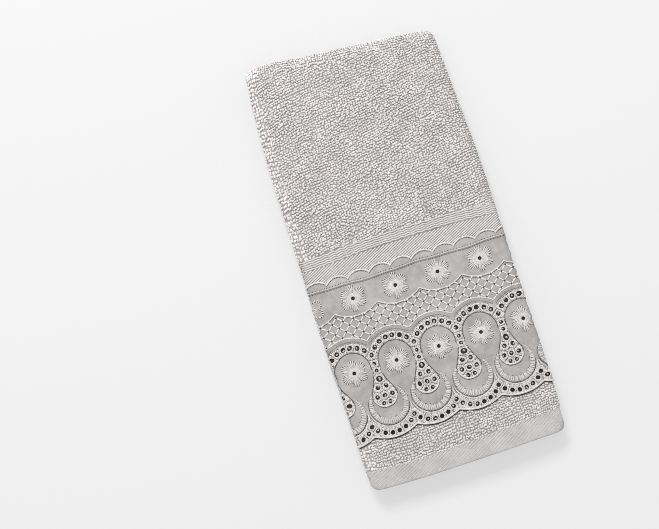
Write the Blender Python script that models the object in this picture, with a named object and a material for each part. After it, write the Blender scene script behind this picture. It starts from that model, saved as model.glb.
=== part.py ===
"""A terry hand towel with a wide broderie anglaise trim, folded in three across and then in half.

The cloth and the trim are drawn flat: s runs across the cloth, t runs along it from the front hem, and h
stands out of its face. Three steps then take each point to where it lies. letter_fold turns the side thirds
behind the middle one, half_fold turns the upper end back under the towel, and settle gives the stack the
outline and the unevenness of the real one.
"""

import bmesh
import bpy
import numpy as np
from mathutils.geometry import delaunay_2d_cdt

# Cloth thickness, loops included
TERRY = 0.0029
HEM = 0.0018
WOVEN_BAND = 0.0015
UNDER_TRIM = 0.0020

# The folded stack: middle surface to middle surface, so that the layers lie a little apart
LAYER_PITCH = 0.0034
MIDDLE_PITCH = 0.0040  # between the front half and the back half
HALF_PANEL = 0.0788  # half of the straight width of the middle third
SIDE_RADIUS = LAYER_PITCH  # of the two side folds
SIDE_ARC = np.pi * SIDE_RADIUS
TUCK = 0.014  # run in which the left third rises from its fold to its layer
LEFT_END_GAP = 0.001  # the left third stops this far short of the right fold
RIGHT_END_GAP = 0.015  # and the right third this far short of the left fold
TOP_RADIUS = 2 * LAYER_PITCH + MIDDLE_PITCH / 2
TOP_ARC = np.pi * TOP_RADIUS
FOLDED_LENGTH = 0.353
FRONT_RUN = FOLDED_LENGTH - TOP_RADIUS - TERRY / 2
BACK_SHORT = 0.004  # the back half ends this far above the front hem's edge
SIDE_OUT = HALF_PANEL + SIDE_RADIUS + TERRY / 2  # outer face of a side fold before settling

CLOTH_LEFT = -(3 * HALF_PANEL + SIDE_ARC - LEFT_END_GAP)
CLOTH_RIGHT = 3 * HALF_PANEL + SIDE_ARC - RIGHT_END_GAP
CLOTH_LENGTH = 2 * FRONT_RUN + TOP_ARC - BACK_SHORT

# Bands along the cloth, from the front hem's edge
HEM_HEIGHT = 0.0170
TRIM_LOW = 0.0378
TRIM_HIGH = 0.1770
BAND_LOW = 0.1800
BAND_HIGH = 0.1973
STEP = 0.0015  # half of the run in which one thickness becomes the next

# (along the cloth, thickness)
THICKNESS = (
    (0.0, HEM),
    (HEM_HEIGHT - STEP, HEM),
    (HEM_HEIGHT + STEP, TERRY),
    (TRIM_LOW - 4 * STEP, TERRY),
    (TRIM_LOW - STEP, UNDER_TRIM),
    (BAND_LOW - STEP, UNDER_TRIM),
    (BAND_LOW + STEP, WOVEN_BAND),
    (BAND_HIGH - STEP, WOVEN_BAND),
    (BAND_HIGH + STEP, TERRY),
    (CLOTH_LENGTH - HEM_HEIGHT - STEP, TERRY),
    (CLOTH_LENGTH - HEM_HEIGHT + STEP, HEM),
    (CLOTH_LENGTH, HEM),
)

# The settled outline: (along the folded towel, left edge, right edge)
OUTLINE = (
    (0.000, -0.0810, 0.0855),
    (0.015, -0.0817, 0.0853),
    (0.022, -0.0820, 0.0864),
    (0.034, -0.0823, 0.0864),
    (0.060, -0.0829, 0.0857),
    (0.105, -0.0838, 0.0850),
    (0.160, -0.0843, 0.0841),
    (0.190, -0.0836, 0.0847),
    (0.232, -0.0836, 0.0843),
    (0.265, -0.0835, 0.0829),
    (0.305, -0.0822, 0.0807),
    (0.335, -0.0801, 0.0793),
    (0.353, -0.0781, 0.0778),
)
# How far the top fold and the hem line lie above their mean: (share of the way across, top, hem line)
LEAN = (
    (-1.0, 0.0040, 0.0000),
    (-0.9, 0.0054, 0.0000),
    (-0.3, 0.0025, 0.0008),
    (0.0, 0.0005, 0.0017),
    (0.6, -0.0036, 0.0032),
    (0.9, -0.0064, 0.0036),
    (1.0, -0.0084, 0.0038),
)
STILL_LINE = 0.171  # level along the towel that neither lean reaches
EDGE_SHARE = 0.35  # share of the hem line's lean and bow at the hem's own edge
HEM_BOW = 0.0025  # the hem line lies this much lower in its middle than at its ends
HEM_SKEW = 0.6  # share by which that bow is deeper towards the left and flatter towards the right
CORNER = 0.0065  # radius of the two lower corners
FRONT_INSET = 0.0020  # the front half's left fold lies this far inside the back half's, beside the trim
INSET_STARTS = (0.020, 0.060)  # levels between which the inset grows
INSET_ENDS = (0.190, 0.200)  # and between which it goes

# Unevenness of the stack's height: (share of the height, turns across, turns along, start in turns)
WAVES = (
    (0.024, 1.1, 0.5, 0.10),
    (0.016, 0.6, 1.7, 0.35),
    (0.010, 2.3, 2.4, 0.70),
)
WAVE_SPAN = 0.17
HEM_DROOP = 0.07
HEM_DROOP_RUN = 0.018
SIDE_DROOP = 0.03
SIDE_DROOP_POWER = 8  # the higher, the nearer to the side folds the droop begins

# The trim
TRIM = 0.0008
TRIM_GAP = 0.00035
TRIM_END = 0.003  # the trim stops this far short of the cloth's side edges
REPEAT = 0.0361
DROP_AXIS = -0.0140  # one axis of the drop motif, measured across from the middle
SCALLOP_DEPTH = 0.0047
HEADING_DEPTH = 0.0053
EYELET = 0.0019
BIG_EYELET = 0.0026
ARCH_LEVEL = 0.0982
ARCH_RADIUS = 0.0194
ARCH_TURNS = (8.2, 26.5, 44.3)
FLOWER_LEVELS = (0.0968, 0.1551)  # in the arches, and above the drops
EDGE_CENTRE = 0.0643
EDGE_RADIUS = 0.0227
EDGE_TURNS = (7.3, 22.5, 38.5)
CUSP_LEVEL = 0.0509
# Eyelets on a drop's axis and beside it: (level along the cloth, distance from the axis)
DROP_EYELETS = (
    (0.1068, 0.0),
    (0.0995, 0.0),
    (0.0936, 0.0),
    (0.0799, 0.0035),
    (0.0725, 0.0),
    (0.0725, 0.0063),
    (0.0665, 0.0027),
)
BIG_EYELET_LEVEL = 0.0865

SHARP_ANGLE = 50  # degrees between two faces, past which their edge is shaded sharp

# Mesh steps
FACE_STEPS = 10
SIDE_FOLD_STEPS = 6
TUCK_STEPS = 3
PANEL_STEPS = 7
TRIM_STEPS = 8
PILE_STEPS = 7
TOP_FOLD_STEPS = 7
BACK_STEPS = 9


def smoothstep(low, high, value):
    share = np.clip((value - low) / (high - low), 0, 1)
    return share * share * (3 - 2 * share)


def through(table, column, at):
    """Smooth curve through one column of a table whose first column is the place."""
    rows = np.array(table)
    place, value = rows[:, 0], rows[:, column]
    slope = np.gradient(value, place)
    at = np.clip(at, place[0], place[-1])
    k = np.clip(np.searchsorted(place, at, side="right") - 1, 0, len(place) - 2)
    span = place[k + 1] - place[k]
    share = (at - place[k]) / span
    start = (1 + 2 * share) * (1 - share) ** 2 * value[k] + share * (1 - share) ** 2 * span * slope[k]
    end = share**2 * (3 - 2 * share) * value[k + 1] + share**2 * (share - 1) * span * slope[k + 1]
    return start + end


def thickness(t):
    rows = np.array(THICKNESS)
    return np.interp(t, rows[:, 0], rows[:, 1])


def letter_fold(s, h):
    """Folds the side thirds behind the middle one: (x, depth behind the front)."""
    turn = np.pi * np.clip((abs(s) - HALF_PANEL) / SIDE_ARC, 0, 1)
    behind = np.clip(abs(s) - HALF_PANEL - SIDE_ARC, 0, None)
    reach = np.minimum(abs(s), HALF_PANEL) - behind + (SIDE_RADIUS + h) * np.sin(turn)
    depth = SIDE_RADIUS * (1 - np.cos(turn)) - h * np.cos(turn)
    depth = depth - np.where(s < 0, LAYER_PITCH * smoothstep(0, TUCK, behind), 0)
    return np.sign(s) * reach, depth


def half_fold(t, depth):
    """Folds the upper end back under the towel: (y, z, share of the way from the front to the back)."""
    share = np.clip((t - FRONT_RUN) / TOP_ARC, 0, 1)
    run = np.minimum(t, FRONT_RUN) - np.clip(t - FRONT_RUN - TOP_ARC, 0, None)
    radius = TOP_RADIUS - depth
    y = run + radius * np.sin(np.pi * share)
    z = TERRY / 2 + TOP_RADIUS + radius * np.cos(np.pi * share)
    return y, z, share


def settle(x, y, z, back):
    """Gives the neat stack the outline and the unevenness of the real one."""
    side = np.clip(x / SIDE_OUT, -1, 1)
    low = np.clip(y / STILL_LINE, 0, 1)
    high = np.clip((y - STILL_LINE) / (FOLDED_LENGTH - STILL_LINE), 0, 1)
    bow = HEM_BOW * (1 - side**2) * (1 - HEM_SKEW * side) * (1 - smoothstep(HEM_HEIGHT, TRIM_LOW, y))
    hem_share = EDGE_SHARE + (1 - EDGE_SHARE) * smoothstep(0, HEM_HEIGHT, y)
    hem_lean = (1 - low) * through(LEAN, 2, side) - bow
    lean = high * through(LEAN, 1, side) + hem_share * hem_lean
    inset = FRONT_INSET * (1 - back) * smoothstep(*INSET_STARTS, y) * (1 - smoothstep(*INSET_ENDS, y))
    from_corner = np.clip(CORNER - y, 0, CORNER)
    corner = CORNER - np.sqrt(CORNER**2 - from_corner**2)
    left = through(OUTLINE, 1, y) + inset + corner
    right = through(OUTLINE, 2, y) - corner
    settled_x = left + (x / SIDE_OUT + 1) * (right - left) / 2
    droop = HEM_DROOP * np.exp(-y / HEM_DROOP_RUN) + SIDE_DROOP * side**SIDE_DROOP_POWER
    height = 1 - droop
    for size, across, along, start in WAVES:
        height = height + size * np.sin(2 * np.pi * (across * x / WAVE_SPAN + along * y / WAVE_SPAN + start))
    return settled_x, y + lean, z * height


def folded(s, t, h):
    """Where a point of the flat cloth lies in the folded towel."""
    x, depth = letter_fold(s, h)
    y, z, back = half_fold(t, depth)
    return np.stack(settle(x, y, z, back), axis=-1)


def steps(*stops):
    """Places from the first stop on: each later stop is (place, number of steps to it)."""
    places = [stops[0]]
    for place, count in stops[1:]:
        places.extend(np.linspace(places[-1], place, count + 1)[1:])
    return np.array(places)


def columns():
    """Places across the flat cloth, finer round the side folds."""
    fold = HALF_PANEL + SIDE_ARC
    return steps(
        CLOTH_LEFT,
        (-fold - TUCK, PANEL_STEPS),
        (-fold, TUCK_STEPS),
        (-HALF_PANEL, SIDE_FOLD_STEPS),
        (HALF_PANEL, FACE_STEPS),
        (fold, SIDE_FOLD_STEPS),
        (CLOTH_RIGHT, PANEL_STEPS + 1),
    )


def rows():
    """Places along the flat cloth, with one at each change of thickness and finer round the top fold."""
    hem, under, low, high = HEM_HEIGHT, TRIM_LOW, BAND_LOW, BAND_HIGH
    return steps(
        0.0,
        (CORNER / 4, 1),
        (CORNER, 2),
        (hem - STEP, 1),
        (hem + STEP, 1),
        (under - 4 * STEP, 1),
        (under - STEP, 1),
        (low - STEP, TRIM_STEPS),
        (low + STEP, 1),
        (high - STEP, 1),
        (high + STEP, 1),
        (FRONT_RUN, PILE_STEPS),
        (FRONT_RUN + TOP_ARC, TOP_FOLD_STEPS),
        (CLOTH_LENGTH - hem - STEP, BACK_STEPS),
        (CLOTH_LENGTH - hem + STEP, 1),
        (CLOTH_LENGTH - CORNER, 1),
        (CLOTH_LENGTH, 2),
    )


def thicken(bm):
    """Turns a flat sheet at height 0 into a slab whose upper side is at height 1."""
    made = bmesh.ops.extrude_face_region(bm, geom=bm.faces[:])
    for item in made["geom"]:
        if isinstance(item, bmesh.types.BMVert):
            item.co.z = 1.0


def fold_slab(bm, low, high):
    """Places the slab's verts: low and high give h of its two sides at t along the cloth."""
    flat = np.array([vert.co for vert in bm.verts])
    s, t = flat[:, 0], flat[:, 1]
    h = np.where(flat[:, 2] > 0.5, high(t), low(t))
    for vert, place in zip(bm.verts, folded(s, t, h)):
        vert.co = place


def flat_cloth():
    bm = bmesh.new()
    across, along = columns(), rows()
    bmesh.ops.create_grid(bm, x_segments=len(across) - 1, y_segments=len(along) - 1, size=1.0)
    for vert in bm.verts:
        column = round((vert.co.x + 1) / 2 * (len(across) - 1))
        row = round((vert.co.y + 1) / 2 * (len(along) - 1))
        vert.co = (across[column], along[row], 0.0)
    thicken(bm)
    return bm


def scallop(s, pitch):
    """0 in the middle of a scallop, 1 at the cusps, which lie at half a pitch from an axis."""
    share = (s - DROP_AXIS) / pitch
    return (2 * (share - np.round(share))) ** 2


def heading_scallop(s):
    """The same on the heading, whose cusps lie on the drops' axes and half way between them."""
    return scallop(s + REPEAT / 4, REPEAT / 2)


def trim_levels():
    """The cloth's own rows between the trim's two scalloped edges."""
    return [level for level in rows() if TRIM_LOW + SCALLOP_DEPTH < level < TRIM_HIGH - HEADING_DEPTH]


def trim_outline():
    """Flat outline of the trim, anticlockwise from its lower left corner."""
    left, right = CLOTH_LEFT + TRIM_END, CLOTH_RIGHT - TRIM_END
    levels = trim_levels()
    first = np.ceil((left - DROP_AXIS) / REPEAT * 6 + 0.5)
    last = np.floor((right - DROP_AXIS) / REPEAT * 6 - 0.5)
    low = [left, *(DROP_AXIS + np.arange(first, last + 1) * REPEAT / 6), right]
    first = np.ceil((left - DROP_AXIS) / REPEAT * 8 + 0.5)
    last = np.floor((right - DROP_AXIS) / REPEAT * 8 - 0.5)
    high = [right, *(DROP_AXIS + np.arange(last, first - 1, -1) * REPEAT / 8), left]
    edge = [(s, TRIM_LOW + SCALLOP_DEPTH * scallop(s, REPEAT)) for s in low]
    heading = [(s, TRIM_HIGH - HEADING_DEPTH * heading_scallop(s)) for s in high]
    return edge + [(right, t) for t in levels] + heading + [(left, t) for t in reversed(levels)]


def eyelets():
    """(s, t, radius) of each hole: the big one of every repeat, and the others where the front shows them."""
    holes = []
    both = (-1, 1)
    repeats = int(CLOTH_RIGHT / REPEAT) + 1
    for number in range(-repeats, repeats + 1):
        axis = DROP_AXIS + number * REPEAT
        middle = axis + REPEAT / 2
        holes.append((axis, BIG_EYELET_LEVEL, BIG_EYELET))
        shown = [(axis + side * off, level) for level, off in DROP_EYELETS for side in both[: 1 + (off > 0)]]
        for turn in np.radians(ARCH_TURNS):
            level = ARCH_LEVEL + ARCH_RADIUS * np.cos(turn)
            shown += [(middle + side * ARCH_RADIUS * np.sin(turn), level) for side in both]
        for turn in np.radians(EDGE_TURNS):
            level = EDGE_CENTRE - EDGE_RADIUS * np.cos(turn)
            shown += [(axis + side * EDGE_RADIUS * np.sin(turn), level) for side in both]
        shown += [(middle, CUSP_LEVEL), (middle, FLOWER_LEVELS[0]), (axis, FLOWER_LEVELS[1])]
        holes += [(s, t, EYELET) for s, t in shown if abs(s) < HALF_PANEL - EYELET]
    inside = (CLOTH_LEFT + TRIM_END + 2 * BIG_EYELET, CLOTH_RIGHT - TRIM_END - 2 * BIG_EYELET)
    return [hole for hole in holes if inside[0] < hole[0] < inside[1]]


def flat_trim():
    """The trim cut out flat: its outline and holes, and the cloth's own lines, so that it bends as the cloth."""
    points, edges, faces = [], [], []

    def add_loop(loop):
        faces.append(list(range(len(points), len(points) + len(loop))))
        points.extend(loop)

    add_loop(trim_outline())
    holes = eyelets()
    for s, t, radius in holes:
        sides = 8 if radius == BIG_EYELET else 6
        turns = 2 * np.pi * np.arange(sides) / sides
        add_loop([(s + radius * np.cos(turn), t + radius * np.sin(turn)) for turn in turns])
    centres = np.array(holes)
    for s in columns()[1:-1]:
        on_face = abs(s) < HALF_PANEL - STEP
        if not on_face:
            edges.append((len(points), len(points) + 1))
            points.extend([(s, TRIM_LOW - STEP), (s, TRIM_HIGH + STEP)])
        for t in trim_levels():
            clear = np.hypot(centres[:, 0] - s, centres[:, 1] - t).min() > 2 * EYELET
            if clear:
                points.append((s, t))
    made = delaunay_2d_cdt(points, edges, faces, 0, 1e-6)
    bm = bmesh.new()
    verts = [bm.verts.new((*point, 0.0)) for point in made[0]]
    for corners, inside in zip(made[2], made[5]):
        if list(inside) == [0]:
            bm.faces.new([verts[corner] for corner in corners])
    loose = [vert for vert in bm.verts if not vert.link_faces]
    bmesh.ops.delete(bm, geom=loose, context="VERTS")
    thicken(bm)
    return bm


def material(name, colour, roughness):
    made = bpy.data.materials.new(name)
    made.use_nodes = True
    shader = made.node_tree.nodes["Principled BSDF"]
    shader.inputs["Base Color"].default_value = (*colour, 1.0)
    shader.inputs["Roughness"].default_value = roughness
    shader.inputs["Metallic"].default_value = 0.0
    return made


def add_object(name, bm, finish):
    bmesh.ops.recalc_face_normals(bm, faces=bm.faces[:])
    mesh = bpy.data.meshes.new(name)
    bm.to_mesh(mesh)
    bm.free()
    mesh.shade_smooth()
    mesh.set_sharp_from_angle(angle=np.radians(SHARP_ANGLE))
    mesh.materials.append(finish)
    made = bpy.data.objects.new(name, mesh)
    bpy.context.scene.collection.objects.link(made)
    return made


def centre_on_origin(objects):
    """Moves the meshes so that the origin is under the middle of the box round them."""
    corners = np.array([vert.co for made in objects for vert in made.data.vertices])
    middle = (corners.min(axis=0) + corners.max(axis=0)) / 2
    for made in objects:
        for vert in made.data.vertices:
            vert.co.x -= middle[0]
            vert.co.y -= middle[1]


def main():
    for old in list(bpy.data.objects):
        bpy.data.objects.remove(old)
    cloth = flat_cloth()
    fold_slab(cloth, lambda t: -thickness(t) / 2, lambda t: thickness(t) / 2)
    trim = flat_trim()
    fold_slab(
        trim,
        lambda t: thickness(t) / 2 + TRIM_GAP,
        lambda t: thickness(t) / 2 + TRIM_GAP + TRIM,
    )
    objects = [
        add_object("terry_cloth", cloth, material("terry", (0.60, 0.57, 0.55), 0.95)),
        add_object("eyelet_trim", trim, material("eyelet_cloth", (0.49, 0.47, 0.45), 0.85)),
    ]
    centre_on_origin(objects)


main()
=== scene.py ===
# %% [markdown]
# # A folded hand towel with an embroidered trim
# The towel is one terry cloth, folded in three across and then in half, with a strip of broderie anglaise
# sewn across its lower end. Everything here is drawn flat, as a maker would lay it out, and then folded by
# the same rule as the frame's own solids. So a loop or a stitch always stands on the cloth under it.

import math

import bpy
import numpy as np
from mathutils.geometry import delaunay_2d_cdt
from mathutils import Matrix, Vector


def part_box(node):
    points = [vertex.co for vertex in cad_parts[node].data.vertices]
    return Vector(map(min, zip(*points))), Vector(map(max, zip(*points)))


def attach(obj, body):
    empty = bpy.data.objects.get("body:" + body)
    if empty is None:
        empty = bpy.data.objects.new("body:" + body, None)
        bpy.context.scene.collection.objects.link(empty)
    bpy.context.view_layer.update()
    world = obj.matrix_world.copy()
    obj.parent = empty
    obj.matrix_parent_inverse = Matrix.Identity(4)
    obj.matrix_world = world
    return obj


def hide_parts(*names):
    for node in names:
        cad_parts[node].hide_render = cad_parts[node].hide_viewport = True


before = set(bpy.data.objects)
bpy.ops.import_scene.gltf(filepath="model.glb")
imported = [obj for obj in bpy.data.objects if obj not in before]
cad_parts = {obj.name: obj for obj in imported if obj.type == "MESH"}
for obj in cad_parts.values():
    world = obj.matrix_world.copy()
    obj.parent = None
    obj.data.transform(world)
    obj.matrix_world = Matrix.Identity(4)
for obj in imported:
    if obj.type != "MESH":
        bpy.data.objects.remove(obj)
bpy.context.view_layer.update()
chance = np.random.default_rng(7)


def deselect():
    for thing in bpy.context.selected_objects:
        thing.select_set(False)


def pick(thing):
    """Selects one object alone, for the operators that follow."""
    deselect()
    thing.select_set(True)
    bpy.context.view_layer.objects.active = thing


deselect()
print("frame nodes:", sorted(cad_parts))

# %% [markdown]
# ## The flat cloth and its folds
# s runs across the flat cloth, t along it from the front hem's edge, and h stands out of its face. These are
# the sizes that the solids were made from. A cloth could also be folded by simulation, but six pressed
# layers of terry are slow to simulate and hard to keep apart, so the folds are arcs and straight runs.

# %% Sizes of the cloth and its folds
# Cloth thickness, loops included
TERRY = 0.0029
HEM = 0.0018
WOVEN_BAND = 0.0015
UNDER_TRIM = 0.0020
# The stack, from the middle of one layer to the middle of the next
LAYER_PITCH = 0.0034
MIDDLE_PITCH = 0.0040  # between the front half and the back half
HALF_PANEL = 0.0788  # half of the straight width of the middle third
SIDE_RADIUS = LAYER_PITCH  # of the two side folds
SIDE_ARC = math.pi * SIDE_RADIUS
FOLD_END = HALF_PANEL + SIDE_ARC
TUCK = 0.014  # run in which the left third rises from its fold to its layer
LEFT_END_GAP = 0.001  # the left third stops this far short of the right fold
RIGHT_END_GAP = 0.015  # and the right third this far short of the left fold
TOP_RADIUS = 2 * LAYER_PITCH + MIDDLE_PITCH / 2
TOP_ARC = math.pi * TOP_RADIUS
FOLDED_LENGTH = 0.353
FRONT_RUN = FOLDED_LENGTH - TOP_RADIUS - TERRY / 2
BACK_SHORT = 0.004  # the back half ends this far above the front hem's edge
SIDE_OUT = HALF_PANEL + SIDE_RADIUS + TERRY / 2  # outer face of a side fold before it settles
CLOTH_LEFT = -(3 * HALF_PANEL + SIDE_ARC - LEFT_END_GAP)
CLOTH_RIGHT = 3 * HALF_PANEL + SIDE_ARC - RIGHT_END_GAP
CLOTH_LENGTH = 2 * FRONT_RUN + TOP_ARC - BACK_SHORT
print(f"flat cloth {CLOTH_RIGHT - CLOTH_LEFT:.3f} by {CLOTH_LENGTH:.3f} m")

# %% Bands along the cloth
HEM_HEIGHT = 0.0170
TRIM_LOW = 0.0378
TRIM_HIGH = 0.1770
BAND_LOW = 0.1800
BAND_HIGH = 0.1973
STEP = 0.0015  # half of the run in which one thickness becomes the next
REPEAT = 0.0361  # of the trim's pattern
DROP_AXIS = -0.0140  # where one of its drops hangs
SCALLOP_DEPTH = 0.0047
# (along the cloth, thickness)
THICKNESS = (
    (0.0, HEM),
    (HEM_HEIGHT - STEP, HEM),
    (HEM_HEIGHT + STEP, TERRY),
    (TRIM_LOW - 4 * STEP, TERRY),
    (TRIM_LOW - STEP, UNDER_TRIM),
    (BAND_LOW - STEP, UNDER_TRIM),
    (BAND_LOW + STEP, WOVEN_BAND),
    (BAND_HIGH - STEP, WOVEN_BAND),
    (BAND_HIGH + STEP, TERRY),
    (CLOTH_LENGTH - HEM_HEIGHT - STEP, TERRY),
    (CLOTH_LENGTH - HEM_HEIGHT + STEP, HEM),
    (CLOTH_LENGTH, HEM),
)
# How far the woven band hangs down at each side: (side, depth, where it starts, where it ends)
BAND_SAG = ((-1, 0.0026, 0.018, 0.080), (1, 0.0017, 0.040, 0.085))
print(f"trim {TRIM_HIGH - TRIM_LOW:.4f} m deep, woven band {BAND_HIGH - BAND_LOW:.4f} m")

# %% Outline and unevenness of the settled stack
# (along the folded towel, left edge, right edge)
OUTLINE = (
    (0.000, -0.0810, 0.0855),
    (0.015, -0.0817, 0.0853),
    (0.022, -0.0820, 0.0864),
    (0.034, -0.0823, 0.0864),
    (0.060, -0.0829, 0.0857),
    (0.105, -0.0838, 0.0850),
    (0.160, -0.0843, 0.0841),
    (0.190, -0.0836, 0.0847),
    (0.232, -0.0836, 0.0843),
    (0.265, -0.0835, 0.0829),
    (0.305, -0.0822, 0.0807),
    (0.335, -0.0801, 0.0793),
    (0.353, -0.0781, 0.0778),
)
# (share of the way across, lean of the top fold, lean of the hem line)
LEAN = (
    (-1.0, 0.0040, 0.0000),
    (-0.9, 0.0054, 0.0000),
    (-0.3, 0.0025, 0.0008),
    (0.0, 0.0005, 0.0017),
    (0.6, -0.0036, 0.0032),
    (0.9, -0.0064, 0.0036),
    (1.0, -0.0084, 0.0038),
)
STILL_LINE = 0.171  # level along the towel that neither lean reaches
EDGE_SHARE = 0.35  # share of the hem line's lean at the hem's own edge
HEM_BOW = 0.0025  # the hem line lies this much lower in its middle than at its ends
HEM_SKEW = 0.6  # share by which that bow is deeper towards the left
CORNER = 0.0065  # radius of the two lower corners
FRONT_INSET = 0.0020  # the front half's left fold lies this far inside the back half's, beside the trim
INSET_STARTS = (0.020, 0.060)
INSET_ENDS = (0.190, 0.200)
# (share of the height, turns across, turns along, start in turns)
WAVES = (
    (0.024, 1.1, 0.5, 0.10),
    (0.016, 0.6, 1.7, 0.35),
    (0.010, 2.3, 2.4, 0.70),
)
WAVE_SPAN = 0.17  # length of one turn
HEM_DROOP = 0.07  # share of the height that the stack loses at the hem's edge
HEM_DROOP_RUN = 0.018  # and about how far in from it
SIDE_DROOP = 0.03  # share that it loses at the two side folds
SIDE_DROOP_POWER = 8  # the higher, the nearer to the folds that starts
print("outline read at", len(OUTLINE), "levels")


# %% Fold the flat cloth
def smoothstep(low, high, value):
    share = np.clip((value - low) / (high - low), 0, 1)
    return share * share * (3 - 2 * share)


def through(table, column, at):
    """Smooth curve through one column of a table whose first column is the place."""
    rows = np.array(table)
    place, value = rows[:, 0], rows[:, column]
    slope = np.gradient(value, place)
    at = np.clip(at, place[0], place[-1])
    k = np.clip(np.searchsorted(place, at, side="right") - 1, 0, len(place) - 2)
    span = place[k + 1] - place[k]
    share = (at - place[k]) / span
    start = (1 + 2 * share) * (1 - share) ** 2 * value[k] + share * (1 - share) ** 2 * span * slope[k]
    end = share**2 * (3 - 2 * share) * value[k + 1] + share**2 * (share - 1) * span * slope[k + 1]
    return start + end


def scallop(s, pitch):
    """0 in the middle of a scallop, 1 at its cusps."""
    share = (s - DROP_AXIS) / pitch
    return (2 * (share - np.round(share))) ** 2


def band_sag(s):
    """How far the woven band hangs down towards the two side folds."""
    return sum(depth * smoothstep(start, end, side * s) for side, depth, start, end in BAND_SAG)


def thickness(t):
    rows = np.array(THICKNESS)
    return np.interp(t, rows[:, 0], rows[:, 1])


def letter_fold(s, h):
    """Folds the side thirds behind the middle one: (x, depth behind the front)."""
    turn = math.pi * np.clip((abs(s) - HALF_PANEL) / SIDE_ARC, 0, 1)
    behind = np.clip(abs(s) - HALF_PANEL - SIDE_ARC, 0, None)
    reach = np.minimum(abs(s), HALF_PANEL) - behind + (SIDE_RADIUS + h) * np.sin(turn)
    depth = SIDE_RADIUS * (1 - np.cos(turn)) - h * np.cos(turn)
    depth = depth - np.where(s < 0, LAYER_PITCH * smoothstep(0, TUCK, behind), 0)
    return np.sign(s) * reach, depth


def half_fold(t, depth):
    """Folds the upper end back under the towel: (y, z, share of the way from the front to the back)."""
    share = np.clip((t - FRONT_RUN) / TOP_ARC, 0, 1)
    run = np.minimum(t, FRONT_RUN) - np.clip(t - FRONT_RUN - TOP_ARC, 0, None)
    radius = TOP_RADIUS - depth
    y = run + radius * np.sin(math.pi * share)
    z = TERRY / 2 + TOP_RADIUS + radius * np.cos(math.pi * share)
    return y, z, share


def settle(x, y, z, back):
    """Gives the neat stack the outline and the unevenness of the real one."""
    side = np.clip(x / SIDE_OUT, -1, 1)
    low = np.clip(y / STILL_LINE, 0, 1)
    high = np.clip((y - STILL_LINE) / (FOLDED_LENGTH - STILL_LINE), 0, 1)
    bow = HEM_BOW * (1 - side**2) * (1 - HEM_SKEW * side) * (1 - smoothstep(HEM_HEIGHT, TRIM_LOW, y))
    hem_share = EDGE_SHARE + (1 - EDGE_SHARE) * smoothstep(0, HEM_HEIGHT, y)
    hem_lean = (1 - low) * through(LEAN, 2, side) - bow
    lean = high * through(LEAN, 1, side) + hem_share * hem_lean
    inset = FRONT_INSET * (1 - back) * smoothstep(*INSET_STARTS, y) * (1 - smoothstep(*INSET_ENDS, y))
    from_corner = np.clip(CORNER - y, 0, CORNER)
    corner = CORNER - np.sqrt(CORNER**2 - from_corner**2)
    left = through(OUTLINE, 1, y) + inset + corner
    right = through(OUTLINE, 2, y) - corner
    settled_x = left + (x / SIDE_OUT + 1) * (right - left) / 2
    droop = HEM_DROOP * np.exp(-y / HEM_DROOP_RUN) + SIDE_DROOP * side**SIDE_DROOP_POWER
    height = 1 - droop
    for size, across, along, start in WAVES:
        turns = across * x / WAVE_SPAN + along * y / WAVE_SPAN + start
        height = height + size * np.sin(2 * math.pi * turns)
    return settled_x, y + lean, z * height


def folded(s, t, h):
    """Where a point of the flat cloth lies in the folded towel."""
    s, t, h = np.broadcast_arrays(s, t, h)
    x, depth = letter_fold(s, h)
    y, z, back = half_fold(t, depth)
    return np.stack(settle(x, y, z, back), axis=-1)


# %% Find where the frame put the cloth
probe_s, probe_t = np.meshgrid(np.linspace(-FOLD_END, FOLD_END, 160), np.linspace(0, CLOTH_LENGTH, 400))
probe = folded(probe_s, probe_t, thickness(probe_t) / 2).reshape(-1, 3)
node_low, node_high = (np.array(corner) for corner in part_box("terry_cloth"))
shift = (node_low + node_high - probe.min(axis=0) - probe.max(axis=0)) / 2
shift[2] = 0.0
print("box of the folded cloth here", probe.min(axis=0) + shift, probe.max(axis=0) + shift)
print("box of its solid", node_low, node_high)


def place(s, t, h):
    """Where a point of the flat cloth lies in the frame."""
    return folded(s, t, h) + shift


# %% [markdown]
# ## Helpers for meshes that repeat one small form
# A pile has tens of thousands of loops and the trim has thousands of stitches. Each form is modelled once
# with Blender's tools. Its points are then copied as numbers and laid on the flat cloth before it is folded.
# That is quicker than so many objects, and it gives one clean mesh for each kind of work.


# %% Mesh helpers
def points_at(s, t):
    """Points of the flat cloth, one to a row."""
    return np.stack([s, t], axis=-1)


def take_form(thing):
    """Points and faces of a finished small form, which is then removed."""
    mesh = thing.data
    points = np.array([vert.co for vert in mesh.vertices])
    faces = [tuple(face.vertices) for face in mesh.polygons]
    bpy.data.objects.remove(thing)
    return points, faces


def add_piece(name, points, faces, flat):
    """A smooth mesh object from triangles in the frame. flat, each point's s and t, becomes its UV map."""
    mesh = bpy.data.meshes.new(name)
    corners = faces.reshape(-1)
    mesh.vertices.add(len(points))
    mesh.vertices.foreach_set("co", points.astype(np.float32).reshape(-1))
    mesh.loops.add(len(corners))
    mesh.loops.foreach_set("vertex_index", corners.astype(np.int32))
    mesh.polygons.add(len(faces))
    mesh.polygons.foreach_set("loop_start", np.arange(0, len(corners), 3, dtype=np.int32))
    mesh.polygons.foreach_set("loop_total", np.full(len(faces), 3, dtype=np.int32))
    mesh.polygons.foreach_set("use_smooth", np.ones(len(faces), dtype=bool))
    mesh.update(calc_edges=True)
    layer = mesh.uv_layers.new(name="cloth")
    layer.data.foreach_set("uv", flat[corners].astype(np.float32).reshape(-1))
    mesh.validate()
    made = bpy.data.objects.new(name, mesh)
    bpy.context.scene.collection.objects.link(made)
    return made


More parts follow.
